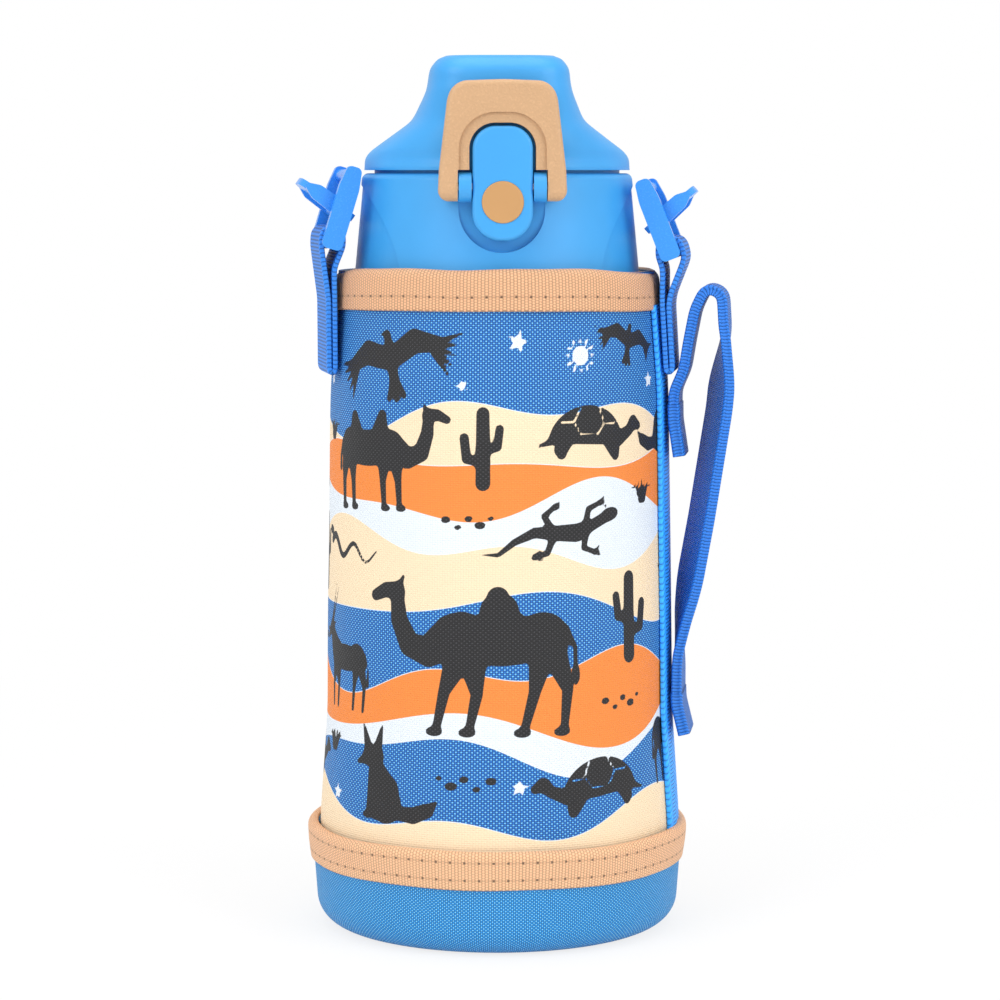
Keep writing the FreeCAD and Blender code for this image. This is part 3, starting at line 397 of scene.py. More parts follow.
class Finish:
    """A material under construction: each method adds one node and returns its output."""

    def __init__(self, name, roughness=0.5, colour=None, **sockets):
        """Other sockets go by their names, with _ for each space."""
        self.material = bpy.data.materials.new(name)
        self.material.use_nodes = True
        self.nodes, self.links = self.material.node_tree.nodes, self.material.node_tree.links
        self.shader = self.nodes["Principled BSDF"]
        self.set("Roughness", roughness)
        if colour:
            self.set("Base Color", colour)
        for socket, value in sockets.items():
            self.set(socket.replace("_", " "), value)

    def set(self, socket, value):
        """A number goes on the socket itself, an output is linked to it."""
        if isinstance(value, bpy.types.NodeSocket):
            self.links.new(value, self.shader.inputs[socket])
        else:
            self.shader.inputs[socket].default_value = value

    def node(self, kind, *inputs, output=0, **settings):
        """A node of that kind: its inputs in order, None leaving one as it is; gives one output."""
        made = self.nodes.new(kind)
        for name, value in settings.items():
            setattr(made, name, value)
        for k, value in enumerate(inputs):
            if isinstance(value, bpy.types.NodeSocket):
                self.links.new(value, made.inputs[k])
            elif value is not None:
                made.inputs[k].default_value = value
        return made.outputs[output]

    def math(self, operation, *values):
        """One arithmetic step on numbers or outputs."""
        return self.node("ShaderNodeMath", *values, operation=operation)

    def place(self):
        """Where the point lies in the piece's own frame, in metres."""
        return self.node("ShaderNodeTexCoord", output="Object")

    def laid(self):
        """The piece's own surface distances, one unit a millimetre: along, then across."""
        split = self.nodes.new("ShaderNodeSeparateXYZ")
        self.links.new(self.node("ShaderNodeTexCoord", output="UV"), split.inputs[0])
        return split.outputs[0], split.outputs[1]

    def field(self, name):
        """A number that the grid carries at its vertices."""
        return self.node("ShaderNodeAttribute", output="Fac", attribute_name=name)

    def noise(self, vector, scale, detail=2.0):
        """Soft noise from 0 to 1, one lump about 1 / scale across."""
        made = self.nodes.new("ShaderNodeTexNoise")
        self.links.new(vector, made.inputs["Vector"])
        made.inputs["Scale"].default_value = scale
        made.inputs["Detail"].default_value = detail
        return made.outputs["Fac"]

    def span(self, value, low, high, to_low=0.0, to_high=1.0):
        """to_low + (to_high - to_low) (x - low) / (high - low), held between the two."""
        return self.node("ShaderNodeMapRange", value, low, high, to_low, to_high, clamp=True)

    def mix(self, amount, first, second):
        """first (1 - amount) + second amount."""
        made = self.nodes.new("ShaderNodeMix")
        made.data_type = "RGBA"
        for socket, value in ((0, amount), (6, first), (7, second)):
            if isinstance(value, bpy.types.NodeSocket):
                self.links.new(value, made.inputs[socket])
            else:
                made.inputs[socket].default_value = value
        return made.outputs[2]

    def bump(self, height, millimetres):
        """Shading relief: a height of 1 stands that many millimetres out."""
        made = self.nodes.new("ShaderNodeBump")
        made.inputs["Strength"].default_value = 1.0
        made.inputs["Distance"].default_value = millimetres / 1000
        self.links.new(height, made.inputs["Height"])
        self.set("Normal", made.outputs["Normal"])

    def wave(self, value, pitch):
        """0 to 1 and back over each pitch: |sin(pi x / pitch)|."""
        return self.math("ABSOLUTE", self.math("SINE", self.math("MULTIPLY", value, math.pi / pitch)))

    def weave(self, pitch_along, pitch_across):
        """Plain weave: 1 where the yarn along is on top, 0 where the one across is, and the yarn's crown."""
        u, v = self.laid()
        a = self.math("FLOOR", self.math("DIVIDE", u, pitch_along))
        b = self.math("FLOOR", self.math("DIVIDE", v, pitch_across))
        over = self.math("FLOORED_MODULO", self.math("ADD", a, b), 2.0)
        crown = self.math("MULTIPLY", self.wave(u, pitch_along), self.wave(v, pitch_across))
        return over, crown


def darker(colour, amount):
    """The colour times amount, brighter where amount is above 1."""
    return tuple(c * amount for c in colour[:3]) + (1.0,)


PRINT = {
    "ground": srgb(14, 108, 200), "sand": srgb(250, 226, 190), "clay": srgb(246, 140, 58),
    "chalk": srgb(232, 240, 248), "ink": srgb(26, 26, 28),
}


def moulded(name, colour, roughness, grain_scale, grain_mm, speckle=0.0, **sockets):
    """Moulded plastic: a spark-eroded grain, and a colour that drifts by a few percent."""
    f = Finish(name, **sockets)
    grain = f.noise(f.place(), grain_scale, 3)
    drift = f.span(f.noise(f.place(), 60.0), 0.3, 0.7, 0.0, 1.0)
    tone = f.mix(drift, darker(colour, 0.965), darker(colour, 1.02))
    if speckle:
        tone = f.mix(f.span(grain, 0.52, 0.72, 0.0, speckle), tone, darker(colour, 1.55))
    f.set("Base Color", tone)
    f.set("Roughness", f.span(grain, 0.3, 0.7, roughness - 0.05, roughness + 0.07))
    f.bump(grain, grain_mm)
    return f.material


def canvas(name, colour, tip, pitch, depth, fields=False):
    """Woven polyester in offset rows: painted highlights on the crowns of the floats and painted shade in the
    gaps between yarns, and the print if asked for.
    """
    f = Finish(name)
    over, crown = f.weave(pitch * 1.1, pitch * 0.9)
    lit = f.math("MULTIPLY", over, f.math("POWER", crown, 1.6))
    # painted shade: the yarn darkens to 0.3 of its colour in the gaps between crowns
    yarn = f.mix(f.span(crown, 0.0, 0.5), darker(colour, 0.3), colour)
    # painted highlight: the crowns of the floats take the tip colour
    yarn = f.mix(f.span(lit, 0.12, 0.62), yarn, tip)
    tone, relief = yarn, f.math("MULTIPLY", crown, f.span(over, 0.0, 1.0, 0.5, 1.0))
    if fields:
        blur = 0.08
        # painted shade: in the gaps between yarn crowns the print's flat colours darken by a tenth and the
        # chalk by 7 percent
        crown_lit = f.span(crown, 0.0, 0.6)
        for k, (_, _, colour_name) in enumerate(DUNES):
            above = f.field("dune_%d" % k)
            flat = PRINT[colour_name]
            cover = yarn if colour_name == "ground" else f.mix(crown_lit, darker(flat, 0.9), flat)
            edge = f.mix(f.span(above, 0.14, 0.26), PRINT["chalk"], cover)
            tone = f.mix(f.span(above, -blur, blur), tone, edge)
        light = f.mix(crown_lit, darker(PRINT["chalk"], 0.93), PRINT["chalk"])
        tone = f.mix(f.span(f.field("chalk"), blur, -blur), tone, light)
        # painted highlights: the ink brightens 4.5 times on the crowns of the floats
        dark = f.mix(f.span(lit, 0.2, 0.8), PRINT["ink"], darker(PRINT["ink"], 4.5))
        tone = f.mix(f.span(f.field("ink"), blur, -blur), tone, dark)
    f.set("Base Color", tone)
    f.set("Roughness", f.span(lit, 0.0, 1.0, 0.62, 0.4))
    f.bump(relief, depth)
    return f.material


TAPE_YARN, STITCH_PITCH = 0.75, 4.1


def ribbed_tape(name, colour, rib, stitch_rows):
    """Grosgrain tape: ribs across it, each laid in short slanting yarns, pierced by a row of needle holes,
    with painted highlights on the crowns, painted shade between the ribs and painted shade in the holes.
    """
    f = Finish(name, Sheen_Weight=0.06, roughness=0.62)
    u, v = f.laid()
    ribs = f.wave(u, rib)
    shift = f.math("MULTIPLY", f.math("FLOOR", f.math("DIVIDE", u, rib)), 0.5)
    place = f.math("ADD", f.math("DIVIDE", v, TAPE_YARN), shift)
    yarns = f.math("ABSOLUTE", f.math("SINE", f.math("MULTIPLY", place, math.pi)))
    crown = f.math("MULTIPLY", f.span(ribs, 0.05, 0.8), f.span(yarns, 0.0, 0.75, 0.15, 1.0))
    # painted light: lighter on the crowns of the ribs and yarns, darker in the grooves between them
    tone = f.mix(crown, darker(colour, 0.62), darker(colour, 1.18))
    hole = f.span(f.wave(u, STITCH_PITCH), 0.32, 0.18)
    for row in stitch_rows:
        off = f.math("ABSOLUTE", f.math("SUBTRACT", v, row))
        near, line = f.span(off, 0.45, 0.2), f.span(off, 0.42, 0.2)
        tone = f.mix(f.math("MULTIPLY", line, 0.35), tone, darker(colour, 0.55))
        # painted shade: each needle hole goes dark
        tone = f.mix(f.math("MULTIPLY", near, hole), tone, darker(colour, 0.22))
    f.set("Base Color", tone)
    f.bump(crown, 0.22)
    return f.material


def strap_cloth(name, colour, pitch, edge_from, edge_pitch):
    """Strap webbing: fine ribs across the face, and a chain of slanting loops along each edge, all painted
    lighter on their crowns and darker between them.

    The second surface distance runs across the strap, 0 on its middle."""
    f = Finish(name, roughness=0.55)
    along_it, across = f.laid()
    side = f.math("ABSOLUTE", across)
    rib = f.math("MULTIPLY", f.wave(along_it, pitch), f.span(f.wave(across, pitch * 1.6), 0.0, 0.8, 0.6, 1.0))
    slant = f.math("MULTIPLY_ADD", side, 0.55, f.math("DIVIDE", along_it, edge_pitch))
    loops = f.math("POWER", f.math("ABSOLUTE", f.math("SINE", f.math("MULTIPLY", slant, math.pi))), 0.45)
    edge = f.span(side, edge_from - 0.12, edge_from + 0.12)
    face = f.math("MULTIPLY", rib, f.math("SUBTRACT", 1.0, edge))
    relief = f.math("ADD", face, f.math("MULTIPLY", loops, edge))
    # painted light: the raised ribs and edge loops lighter, the grooves between them darker
    tone = f.mix(f.span(relief, 0.15, 0.95), darker(colour, 0.55), darker(colour, 1.5))
    f.set("Base Color", tone)
    f.bump(relief, 0.25)
    return f.material


def brushed(name, colour, roughness, stretch):
    """Steel with fine lines round the axis."""
    f = Finish(name, Metallic=1.0)
    split = f.nodes.new("ShaderNodeSeparateXYZ")
    f.links.new(f.place(), split.inputs[0])
    lines = f.noise(f.node("ShaderNodeCombineXYZ", f.math("MULTIPLY", split.outputs[0], 0.02),
                           f.math("MULTIPLY", split.outputs[1], 0.02), split.outputs[2]), stretch, 4)
    f.set("Base Color", f.mix(lines, darker(colour, 0.85), colour))
    f.set("Roughness", f.span(lines, 0.3, 0.7, roughness - 0.08, roughness + 0.1))
    f.bump(lines, 0.02)
    return f.material


BODY_BLUE = srgb(58, 158, 226)
MOULDED_BLUE = moulded("moulded_blue", BODY_BLUE, 0.42, 2600.0, 0.02)
GRAINED_TAN = moulded("grained_tan", srgb(198, 158, 118), 0.40, 1500.0, 0.22, speckle=0.2)
GLOSS_TAN = moulded("gloss_tan", srgb(194, 146, 92), 0.16, 900.0, 0.004, Coat_Weight=0.5)
BUCKLE_BLUE = moulded("buckle_blue", srgb(54, 148, 238), 0.24, 1500.0, 0.02, speckle=0.06)
FOOT_BLUE = moulded("foot_blue", srgb(38, 110, 196), 0.55, 1500.0, 0.05)
# The second colour of each canvas is the painted highlight on its float crowns.
PRINTED_CANVAS = canvas("printed_canvas", PRINT["ground"], srgb(120, 206, 255), 0.68, 0.16, fields=True)
CUP_CANVAS = canvas("cup_canvas", srgb(6, 142, 226), srgb(132, 218, 255), 0.56, 0.14)
LINING = canvas("lining_cloth", srgb(120, 128, 138), srgb(160, 168, 178), 0.5, 0.1)
TOP_TAPE = ribbed_tape("top_tape", srgb(232, 178, 136), 1.0, stitch_rows=(3.6,))
BASE_TAPE = ribbed_tape("base_tape", srgb(246, 192, 148), 0.95, stitch_rows=(2.6, 7.6))
SIDE_WEBBING = strap_cloth("side_webbing_cloth", srgb(44, 154, 248), 1.1, 9.0, edge_pitch=1.9)
LOOP_WEBBING = strap_cloth("loop_webbing_cloth", srgb(36, 116, 204), 1.0, 9.4, edge_pitch=1.25)
STRAP_CLOTH = strap_cloth("hand_strap_cloth", srgb(28, 104, 192), 0.55, 8.2, edge_pitch=0.95)
STEEL = brushed("brushed_steel", srgb(206, 208, 210), 0.3, 9000.0)
PIN_STEEL = brushed("pin_steel", srgb(196, 198, 202), 0.22, 3000.0)
SILICONE = moulded("silicone_seal", srgb(226, 230, 232), 0.38, 900.0, 0.01, Subsurface_Weight=0.2)
FOAM = moulded("pad_foam", srgb(96, 102, 110), 0.85, 2200.0, 0.3)


def dress(piece, material):
    """The material in every slot of the piece, or in a new one."""
    if not piece.data.materials:
        piece.data.materials.append(material)
    for slot in piece.material_slots:
        slot.material = material


# ------------------------------------------------------------------ shapes
def open_line(corners, step=0.5):
    """An open line through (a, b, round) corners, each inner one an arc tangent to both sides."""
    ends = [tuple(corners[0][:2]) + (0,)] + list(corners[1:-1]) + [tuple(corners[-1][:2]) + (0,)]
    outline = rounded_profile(ends, step)
    return resampled(outline, step)


def resampled(line, step, closed=False):
    """The same line with its points about step apart, by distance along it."""
    if closed:
        line = np.concatenate([line, line[:1]])
    s = along(line)
    n = max(4, int(round(s[-1] / step)))
    t = np.linspace(0, s[-1], n + 1)
    out = np.stack([np.interp(t, s, line[:, k]) for k in range(line.shape[1])], axis=1)
    return out[:-1] if closed else out


def softened(line, rounds=2, closed=False):
    """Each point moved to the mean of itself and its neighbours, a few times."""
    for _ in range(rounds):
        back, ahead = np.roll(line, 1, axis=0), np.roll(line, -1, axis=0)
        mean = 0.25 * back + 0.5 * line + 0.25 * ahead
        if not closed:
            mean[0], mean[-1] = line[0], line[-1]
        line = mean
    return line


def thickened(line, thick):
    """A closed outline thick millimetres wide round an open line, its ends rounded."""
    ahead = np.gradient(line, axis=0)
    ahead /= np.linalg.norm(ahead, axis=1)[:, None]
    normal = np.stack([-ahead[:, 1], ahead[:, 0]], axis=1) * thick / 2
    cap0, cap1 = line[:1] - ahead[:1] * thick * 0.45, line[-1:] + ahead[-1:] * thick * 0.45
    return np.concatenate([cap0, line + normal, cap1, (line - normal)[::-1]])


SLEEVE_Z = [CUP_TOP, CUP_TOP + 32.4, CUP_TOP + 80.4, RIM - 33.3, RIM]
SLEEVE_R = [SLEEVE_LOW_R, 49.85, 49.1, 48.2, 45.6]
PRINT_R = 49.0
SLEEVE_FOOT = 14.5
SLEEVE_CURVE = 50.0
WEBBING, HAND_STRAP = 22.0, 19.0


def sleeve_r(z, out=0.0):
    """The sleeve's outside at height z: straight runs between five rings, smoothed over 10 mm."""
    z = np.asarray(z, float)
    return sum(np.interp(z + d, SLEEVE_Z, SLEEVE_R) for d in np.linspace(-5, 5, 7)) / 7 + out


def turned_cloth(name, outline, columns, material, wobble=None, laid=None):
    """A closed (radius, z) outline turned about the axis: (r cos a, r sin a, z).

    laid gives each outline point its distance across."""
    a = np.linspace(0, TAU, columns + 1)
    r, z = np.repeat(outline[:, :1], columns + 1, 1), np.repeat(outline[:, 1:], columns + 1, 1)
    if wobble is not None:
        r, z = wobble(a[None, :], r, z)
        r[:, -1], z[:, -1] = r[:, 0], z[:, 0]
    points = np.stack([r * np.cos(a), r * np.sin(a), z], axis=2).reshape(-1, 3)
    across = along(outline) if laid is None else laid
    big = np.percentile(outline[:, 0], 90)
    uv = np.stack(np.broadcast_arrays(big * (a[None, :] - POUCH_TURN), across[:, None]), axis=2)
    ahead = np.roll(outline, -1, axis=0)
    area = 0.5 * np.sum(outline[:, 0] * ahead[:, 1] - ahead[:, 0] * outline[:, 1])
    quads = grid_quads(len(outline), columns + 1, True, False, flip=area > 0)
    piece = to_mesh(name, points, quads, "pouch", uv=uv.reshape(-1, 2))
    welded(piece)
    dress(piece, material)
    return piece


def welded(piece, apart=0.00001):
    """Points that lie together are joined, and faces with no area are dropped."""
    made = bmesh.new()
    made.from_mesh(piece.data)
    bmesh.ops.remove_doubles(made, verts=made.verts, dist=apart)
    bmesh.ops.dissolve_degenerate(made, edges=made.edges, dist=apart / 10)
    made.to_mesh(piece.data)
    made.free()


def ribbon(name, side, line, section, material, closed=False, twist=None):
    """A section of (across, out) points carried along a line of (out, z) points at one side of the pouch.

    twist(share of the way) turns the section about the line, in radians. The surface distances are
    the distance along the line and the distance across the section."""
    ahead = np.roll(line, -1, axis=0) - np.roll(line, 1, axis=0) if closed else np.gradient(line, axis=0)
    ahead /= np.linalg.norm(ahead, axis=1)[:, None]
    normal = np.stack([ahead[:, 1], -ahead[:, 0]], axis=1)
    share = np.linspace(0, 1, len(line))
    angle = np.zeros(len(line)) if twist is None else twist(share)
    w = section[None, :, 0] * np.cos(angle)[:, None] - section[None, :, 1] * np.sin(angle)[:, None]
    t = section[None, :, 0] * np.sin(angle)[:, None] + section[None, :, 1] * np.cos(angle)[:, None]
    out = line[:, None, 0] + normal[:, None, 0] * t
    z = line[:, None, 1] + normal[:, None, 1] * t
    points = turned(np.stack([out, w, z], axis=2).reshape(-1, 3), SIDE[side])
    rows, k = len(line), len(section)
    quads = grid_quads(rows, k, closed, True)
    if not closed:
        half = k // 2
        i = np.arange(half - 1)
        foot = np.stack([i, i + 1, k - 2 - i, k - 1 - i], axis=1)
        quads = np.concatenate([quads, foot, (foot + (rows - 1) * k)[:, ::-1]])
    uv = np.stack(np.broadcast_arrays(along(line)[:, None], section[None, :, 0]), axis=2).reshape(-1, 2)
    piece = to_mesh(name, points, quads, "pouch", uv=uv)
    facing(piece)
    dress(piece, material)
    return piece


def facing(piece):
    """Every face turned outwards."""
    made = bmesh.new()
    made.from_mesh(piece.data)
    bmesh.ops.recalc_face_normals(made, faces=made.faces)
    made.to_mesh(piece.data)
    made.free()


def strap_section(width, thick, groove=0.0, bulge=0.0, count=44):
    """A flat oval, (W/2 |cos|^0.3, T/2 |sin|^0.45), pinched at each edge's middle and fuller beside it."""
    a = (np.arange(count) + 0.5) * TAU / count
    c, s = np.cos(a), np.sin(a)
    w, t = width / 2 * np.sign(c) * np.abs(c) ** 0.3, thick / 2 * np.sign(s) * np.abs(s) ** 0.45
    edge = np.exp(-(((width / 2 - np.abs(w)) / 1.6) ** 2))
    t = t * (1 + bulge * edge)
    w = w - np.sign(w) * groove * np.exp(-((t / (0.22 * thick)) ** 2)) * edge
    return np.stack([w, t], axis=1)


# ------------------------------------------------------------------ pouch
def printed_sleeve():
    """The outside cloth, (r cos a, r sin a, z) with r = sleeve_r(z) and a slow ripple of 0.14 mm.

    Its grid carries the distance to each dune's crest and to the nearest motif."""
    z = np.arange(SLEEVE_FOOT, RIM - 0.6, 0.85)
    inner = np.array([RIM - 1.3, 120.0, 60.0, SLEEVE_FOOT + 0.5])
    columns = 364
    a = np.linspace(0, TAU, columns + 1)
    turn = a[None, :] - POUCH_TURN
    ripple = 0.14 * np.sin(9 * turn + z[:, None] / 21) * np.sin(z[:, None] / 15 + 1.0)
    r = sleeve_r(z)[:, None] - 0.1 + ripple
    r_in = np.repeat((sleeve_r(inner) - 0.8)[:, None], columns + 1, 1)
    rows_r, rows_z = np.concatenate([r, r_in]), np.concatenate([z, inner])[:, None] + 0 * a[None, :]
    rows_r[:, -1] = rows_r[:, 0]
    points = np.stack([rows_r * np.cos(a), rows_r * np.sin(a), rows_z], axis=2).reshape(-1, 3)
    front = np.mod(a - (-math.pi / 2 + POUCH_TURN) + math.pi, TAU) - math.pi
    around, height = np.broadcast_arrays(PRINT_R * front[None, :], rows_z)
    fields = {
        "ink": motif_field(around, height, DARK_MOTIFS),
        "chalk": motif_field(around, height, LIGHT_MOTIFS),
    }
    for k, (level, waves, _) in enumerate(DUNES):
        fields["dune_%d" % k] = dune_line(front[None, :], level, waves) - height
    fields = {name: values.ravel() for name, values in fields.items()}
    run = np.concatenate([z, 2 * RIM - inner])
    spread = np.broadcast_arrays(PRINT_R * (a[None, :] - POUCH_TURN), run[:, None])
    uv = np.stack(spread, axis=2).reshape(-1, 2)
    quads = grid_quads(len(rows_r), columns + 1, True, False)
    piece = to_mesh("printed_sleeve", points, quads, "pouch", uv=uv, fields=fields)
    welded(piece)
    facing(piece)
    dress(piece, PRINTED_CANVAS)
    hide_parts("sleeve")


def sleeve_lining():
    """Foam and its lining: a thick ring, its inside quilted in diamonds 24 mm high.

    A seam runs where s = min(|sin(u + v)|, |sin(u - v)|) is 0, sunk by 0.55 exp(-(s / 0.16)^2)."""
    foot, head = SLEEVE_FOOT + 0.1, RIM - 0.9
    z = np.linspace(foot, head, 40)
    outer = np.stack([sleeve_r(z, -1.1), z], axis=1)
    inner = np.stack([np.full(140, VESSEL_R + 1.0), np.linspace(head, foot, 140)], axis=1)

    def quilt(a, r, z):
        """The inner wall stands back at the seams, with u = 11 a / 2 and v = pi z / 24."""
        u, v = a * 11 / 2, z * math.pi / 24
        seam = np.minimum(np.abs(np.sin(u + v)), np.abs(np.sin(u - v)))
        return r + np.where(r < VESSEL_R + 1.5, 0.55 * np.exp(-((seam / 0.16) ** 2)), 0), z

    piece = turned_cloth("sleeve_lining", np.concatenate([outer, inner]), 300, LINING, quilt)
    facing(piece)
    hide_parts("sleeve_padding")


def top_tape():
    """Binding folded over the rim: up the outside, over and down the inside, a little lower at both sides."""
    centre = [(float(sleeve_r(RIM - drop)) + out, RIM - drop) for drop, out in ((10.5, 0.55), (6.3, 0.75))]
    centre += [(float(sleeve_r(RIM - 1)) + 0.7, RIM - 0.9, 2.0), (VESSEL_R + 3.0, RIM + 0.6, 1.8),
               (VESSEL_R + 1.3, RIM, 1.2), (VESSEL_R + 0.9, RIM - 2.3, 1), (VESSEL_R + 0.9, RIM - 10.3)]
    outline = thickened(softened(open_line(centre, 0.5), 3), 0.9)
    steps = np.arange(len(outline) // 2 - 1) * 0.5
    laid = np.resize(np.concatenate([[0], steps, [0], steps[::-1]]), len(outline))

    def settle(a, r, z):
        """The edge drops by 1.7 cos^4 at the sides and wanders by some 0.3 mm; the face ripples a little."""
        side = np.cos(a - POUCH_TURN) ** 2
        up = np.clip((z - RIM + 12.3) / 12, 0, 1)
        drop = 1.7 * side ** 2 * up + 0.9 * side * (1 - up) * (r > VESSEL_R + 2)
        slack = 0.22 * np.sin(5 * a + 1.3) + 0.12 * np.sin(11 * a)
        ripple = 0.12 * np.sin(7 * a + z / 6) * (r > VESSEL_R + 2)
        return r + ripple, z - drop + slack * np.clip((z - RIM + 16.3) / 16, 0, 1)

    piece = turned_cloth("top_tape", outline, 300, TOP_TAPE, settle, laid)
    facing(piece)
    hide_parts("top_binding")


def base_tape():
    """Binding round the base cup's rim, turned in over the top edge."""
    centre = [(CUP_R - 0.35, 20.0), (CUP_R + 0.25, 25.0), (CUP_R + 0.6, 29.2, 1.2), (CUP_R - 0.2, 30.2, 0.8),
              (SLEEVE_LOW_R + 0.9, 29.9)]
    outline = thickened(softened(open_line(centre, 0.45), 2), 0.9)
    half = len(outline) // 2
    steps = np.arange(half - 1) * 0.45
    laid = np.resize(np.concatenate([[0], steps, [half * 0.45], steps[::-1]]), len(outline))

    def settle(a, r, z):
        """The tape wanders: 0.25 sin(3 a + 0.6) + 0.14 sin(8 a), times 0.8, up and down."""
        wave = 0.25 * np.sin(3 * a + 0.6) + 0.14 * np.sin(8 * a)
        return r + 0.12 * np.sin(6 * a + z / 3), z + wave * 0.8

    piece = turned_cloth("base_tape", outline, 320, BASE_TAPE, settle, laid)
    facing(piece)
    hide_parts("base_binding")


def cup_shell():
    """Moulded cloth cup: a flat foot, a round heel, a flaring wall, and the padded inside."""
    inside = SLEEVE_LOW_R + 0.3
    head, ledge, floor = CUP_TOP - 0.2, SLEEVE_FOOT - 0.3, 4.3
    corners = [
        (0.001, 0.15), (CUP_R - 9.4, 0.15, 8), (CUP_R - 2.2, 1.2, 8.5), (CUP_R - 0.15, head, 0.4),
        (inside, head, 0.4), (inside, ledge, 0.4), (VESSEL_R + 1.1, ledge, 0.8), (VESSEL_R + 1.1, floor, 1.2),
        (0.001, floor),
    ]
    outline = resampled(rounded_profile(corners, 0.8), 0.9, closed=True)
    piece = turned_cloth("cup_shell", outline, 300, CUP_CANVAS)
    facing(piece)
    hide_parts("base_cup")


def cup_pad():
    """Foam disc in the cup, its top crowned by 0.4 mm and its rim rounded."""
    corners = [(0.001, 4.45), (VESSEL_R + 0.3, 4.45, 1.0), (VESSEL_R + 0.3, 6.6, 1.2), (0.001, 6.9)]
    outline = resampled(rounded_profile(corners, 0.5), 0.9, closed=True)
    piece = turned_cloth("cup_pad", outline, 200, FOAM)
    facing(piece)
    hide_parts("base_pad")


def seam_webbing():
    """Webbing down the side seam under the hand strap, curved with the sleeve."""
    z = np.arange(CUP_TOP - 0.6, RIM - 9.7, 0.8)
    line = np.stack([sleeve_r(z, 0.75), z], axis=1)
    section = strap_section(WEBBING, 1.5, bulge=0.3)
    bend = section[:, 0] ** 2 / (2 * SLEEVE_CURVE)
    section = np.stack([section[:, 0], section[:, 1] - bend], axis=1)
    piece = ribbon("seam_webbing", "right", line, section, SIDE_WEBBING)
    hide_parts("side_webbing")


def strap_loops():
    """Each strap loop: up the pouch, round the buckle's lower bar in a drop-shaped eye, and back down."""
    for side, under, bulge in (("left", 0.6, 3.2), ("right", 1.9, 4.6)):
        _, bar_x, bar_z = buckle_bar(side)
        low, neck_z = RIM - 29.7, RIM - 9.0
        foot, neck = float(sleeve_r(low, under)), float(sleeve_r(neck_z, 2.3))
        corners = [
            (foot + 0.1, low, 0.6), (foot, low + 1.4, 1), (neck, neck_z, 12), (neck + 0.1, neck_z + 9.1, 6),
            (bar_x - 3.0, bar_z - 2.4, 4), (bar_x - 3.0, bar_z + 2.95, 2.6), (bar_x + 3.0, bar_z + 2.95, 2.6),
            (bar_x + bulge, bar_z - 2.5, 5), (neck + 1.75, neck_z + 0.3, 14), (foot + 1.75, low + 1.4, 1),
            (foot + 1.6, low, 0.6),
        ]
        line = softened(resampled(rounded_profile(corners, 0.4), 0.6, closed=True), 4, closed=True)
        section = strap_section(WEBBING, 1.5, bulge=0.35, groove=0.25)
        piece = ribbon(side + "_loop_strap", side, line, section, LOOP_WEBBING, closed=True)
        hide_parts(side + "_strap_loop")


def strap_line(corners):
    """(out, up, round) corners set out from the seam webbing's face and from the strap's lower end."""
    face, low = SLEEVE_R[2] + 1.3, 69.0
    return [(face + out, low + up, round_r) for out, up, round_r in corners]


def hand_strap():
    """The carrying loop: two layers sewn edge to edge, its long outer run turned a little on itself."""
    corners = strap_line([
        (1.5, 83.5, 0), (1.5, 87.0, 5), (4.3, 93.5, 8), (5.5, 101.0, 20), (7.3, 110.5, 12),
        (10.5, 117.2, 2.4), (15.1, 115.0, 2.8), (15.9, 102.0, 25), (14.1, 82.0, 60), (9.1, 50.0, 90),
        (4.1, 22.0, 30), (2.8, 11.0, 12), (2.8, 0.0, 0),
    ])
    line = softened(open_line(corners, 0.7), 4)

    def twist(share):
        """19 degrees along the outer run, each end eased by t^2 (3 - 2 t)."""
        rise = np.clip((share - 0.30) / 0.14, 0, 1)
        fall = np.clip((0.97 - share) / 0.2, 0, 1)
        return math.radians(19) * (rise * rise * (3 - 2 * rise)) * (fall * fall * (3 - 2 * fall))

    section = strap_section(HAND_STRAP, 2.8, groove=0.9, bulge=0.35, count=64)
    piece = ribbon("hand_strap_cloth", "right", line, section, STRAP_CLOTH, twist=twist)
    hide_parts("hand_strap")
    for name, corners in (
            ("top_tab", [(3.1, 68.6, 0), (1.6, 78.5, 10), (1.5, 83.5, 0)]),
            ("bottom_tab", [(2.8, 0.0, 0), (2.9, -3.5, 8), (5.0, -12.0, 0)])):
        line = softened(open_line(strap_line(corners), 0.6), 2)
        section = strap_section(HAND_STRAP, 3.7, groove=0.7, bulge=0.1, count=64)
        piece = ribbon(name, "right", line, section, STRAP_CLOTH)
        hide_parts("hand_strap_" + name)


POUCH_PIECES = (
    printed_sleeve, sleeve_lining, top_tape, base_tape, cup_shell, cup_pad,
    seam_webbing, strap_loops, hand_strap,
)
for build in POUCH_PIECES:
    build()

CAD_FINISH = {
    MOULDED_BLUE: ("collar", "lid", "release_lever"),
    GRAINED_TAN: ("lock_ring",), GLOSS_TAN: ("button_cap",), FOOT_BLUE: ("bottle_foot",),
    BUCKLE_BLUE: ("left_buckle_frame", "left_buckle_lever", "right_buckle_frame", "right_buckle_lever"),
    STEEL: ("outer_vessel", "inner_vessel", "vessel_bottom"),
    PIN_STEEL: ("lid_hinge_pin", "latch_pin", "lid_spring", "button_spring"),
    SILICONE: ("mouth_gasket", "collar_gasket", "spout_seal", "drinking_spout", "lid_liner"),
}
for material, names in CAD_FINISH.items():
    for name in names:
        dress(frame["nodes"][name], material)


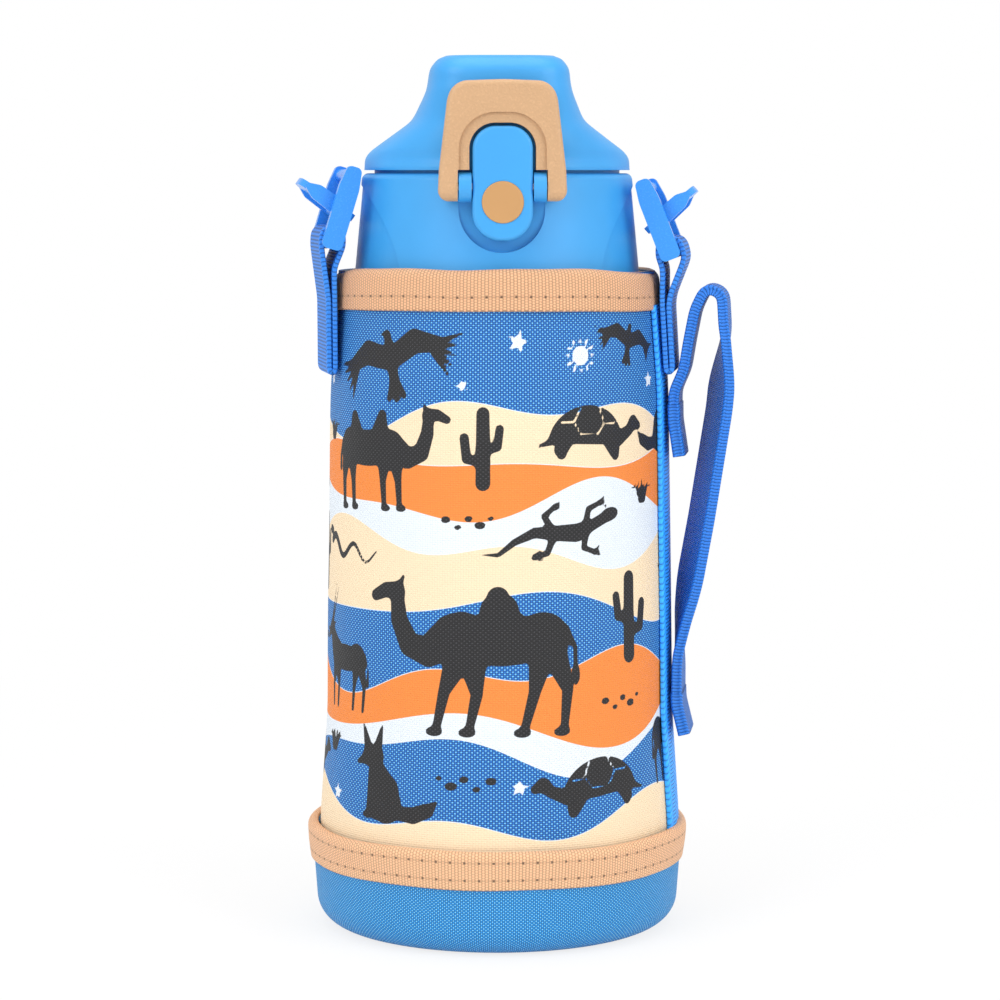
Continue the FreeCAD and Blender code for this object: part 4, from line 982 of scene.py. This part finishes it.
# ------------------------------------------------------------------ floor, lamps, camera
def white_ground():
    """A wide floor: plain white to the camera, a matt pale floor to the lamps."""
    bpy.ops.mesh.primitive_plane_add(size=16, location=(0, 0, 0))
    floor = bpy.context.object
    floor.name = "floor"
    f = Finish("pale_floor", roughness=0.9, colour=(0.9, 0.9, 0.9, 1))
    glow = f.nodes.new("ShaderNodeEmission")
    glow.inputs[0].default_value, glow.inputs[1].default_value = (1, 1, 1, 1), 1.0
    mix, path, either = [f.nodes.new("ShaderNode" + kind) for kind in ("MixShader", "LightPath", "Math")]
    either.operation = "MAXIMUM"
    f.links.new(path.outputs["Is Camera Ray"], either.inputs[0])
    f.links.new(path.outputs["Is Glossy Ray"], either.inputs[1])
    away = f.node("ShaderNodeVectorMath", f.place(), output=1, operation="LENGTH")
    f.links.new(f.math("MULTIPLY", either.outputs[0], f.span(away, 0.1, 0.5, 0.8, 1.0)), mix.inputs[0])
    f.links.new(f.shader.outputs[0], mix.inputs[1])
    f.links.new(glow.outputs[0], mix.inputs[2])
    f.links.new(mix.outputs[0], f.nodes["Material Output"].inputs[0])
    dress(floor, f.material)


def studio():
    """Soft boxes left, right and above, and a white surround."""
    world = bpy.context.scene.world or bpy.data.worlds.new("World")
    bpy.context.scene.world = world
    world.use_nodes = True
    nodes, links = world.node_tree.nodes, world.node_tree.links
    nodes.clear()
    kinds = ("OutputWorld", "Background", "Background", "MixShader", "LightPath", "Math")
    out, light, white, mix, path, either = [nodes.new("ShaderNode" + kind) for kind in kinds]
    light.inputs[0].default_value, light.inputs[1].default_value = (1, 1, 1, 1), 0.75
    white.inputs[0].default_value, white.inputs[1].default_value = (1, 1, 1, 1), 1.0
    either.operation = "MAXIMUM"
    links.new(path.outputs["Is Camera Ray"], either.inputs[0])
    links.new(path.outputs["Is Transmission Ray"], either.inputs[1])
    links.new(either.outputs[0], mix.inputs[0])
    links.new(light.outputs[0], mix.inputs[1])
    links.new(white.outputs[0], mix.inputs[2])
    links.new(mix.outputs[0], out.inputs[0])
    for name, place, size, power in (
            ("left_box", (-0.75, -0.8, 0.75), 0.7, 5.0), ("right_box", (0.8, -0.7, 0.6), 0.7, 4.0),
            ("top_box", (0.0, -0.1, 1.1), 0.8, 4.0)):
        lamp = bpy.data.lights.new(name, "AREA")
        lamp.size, lamp.energy = size, power
        holder = bpy.data.objects.new(name, lamp)
        bpy.context.scene.collection.objects.link(holder)
        holder.location = place
        aim = Vector((0, 0, 0.12)) - holder.location
        holder.rotation_euler = aim.to_track_quat("-Z", "Y").to_euler()


def camera():
    """A long lens 0.95 m from the axis, near the top and looking a little down."""
    away, height, turn, pitch = 0.95, 0.219, math.radians(-2.1), math.radians(-5.735)
    made = bpy.data.cameras.new("camera")
    made.lens, made.sensor_width = 118.0, 36.0
    holder = bpy.data.objects.new("camera", made)
    bpy.context.scene.collection.objects.link(holder)
    aside = 0.00087
    holder.location = (away * math.sin(turn) + aside * math.cos(turn), -away * math.cos(turn), height)
    holder.rotation_euler = (math.radians(90) + pitch, 0, turn)
    bpy.context.scene.camera = holder


white_ground()
studio()
camera()
bpy.context.scene.view_settings.view_transform = "Standard"
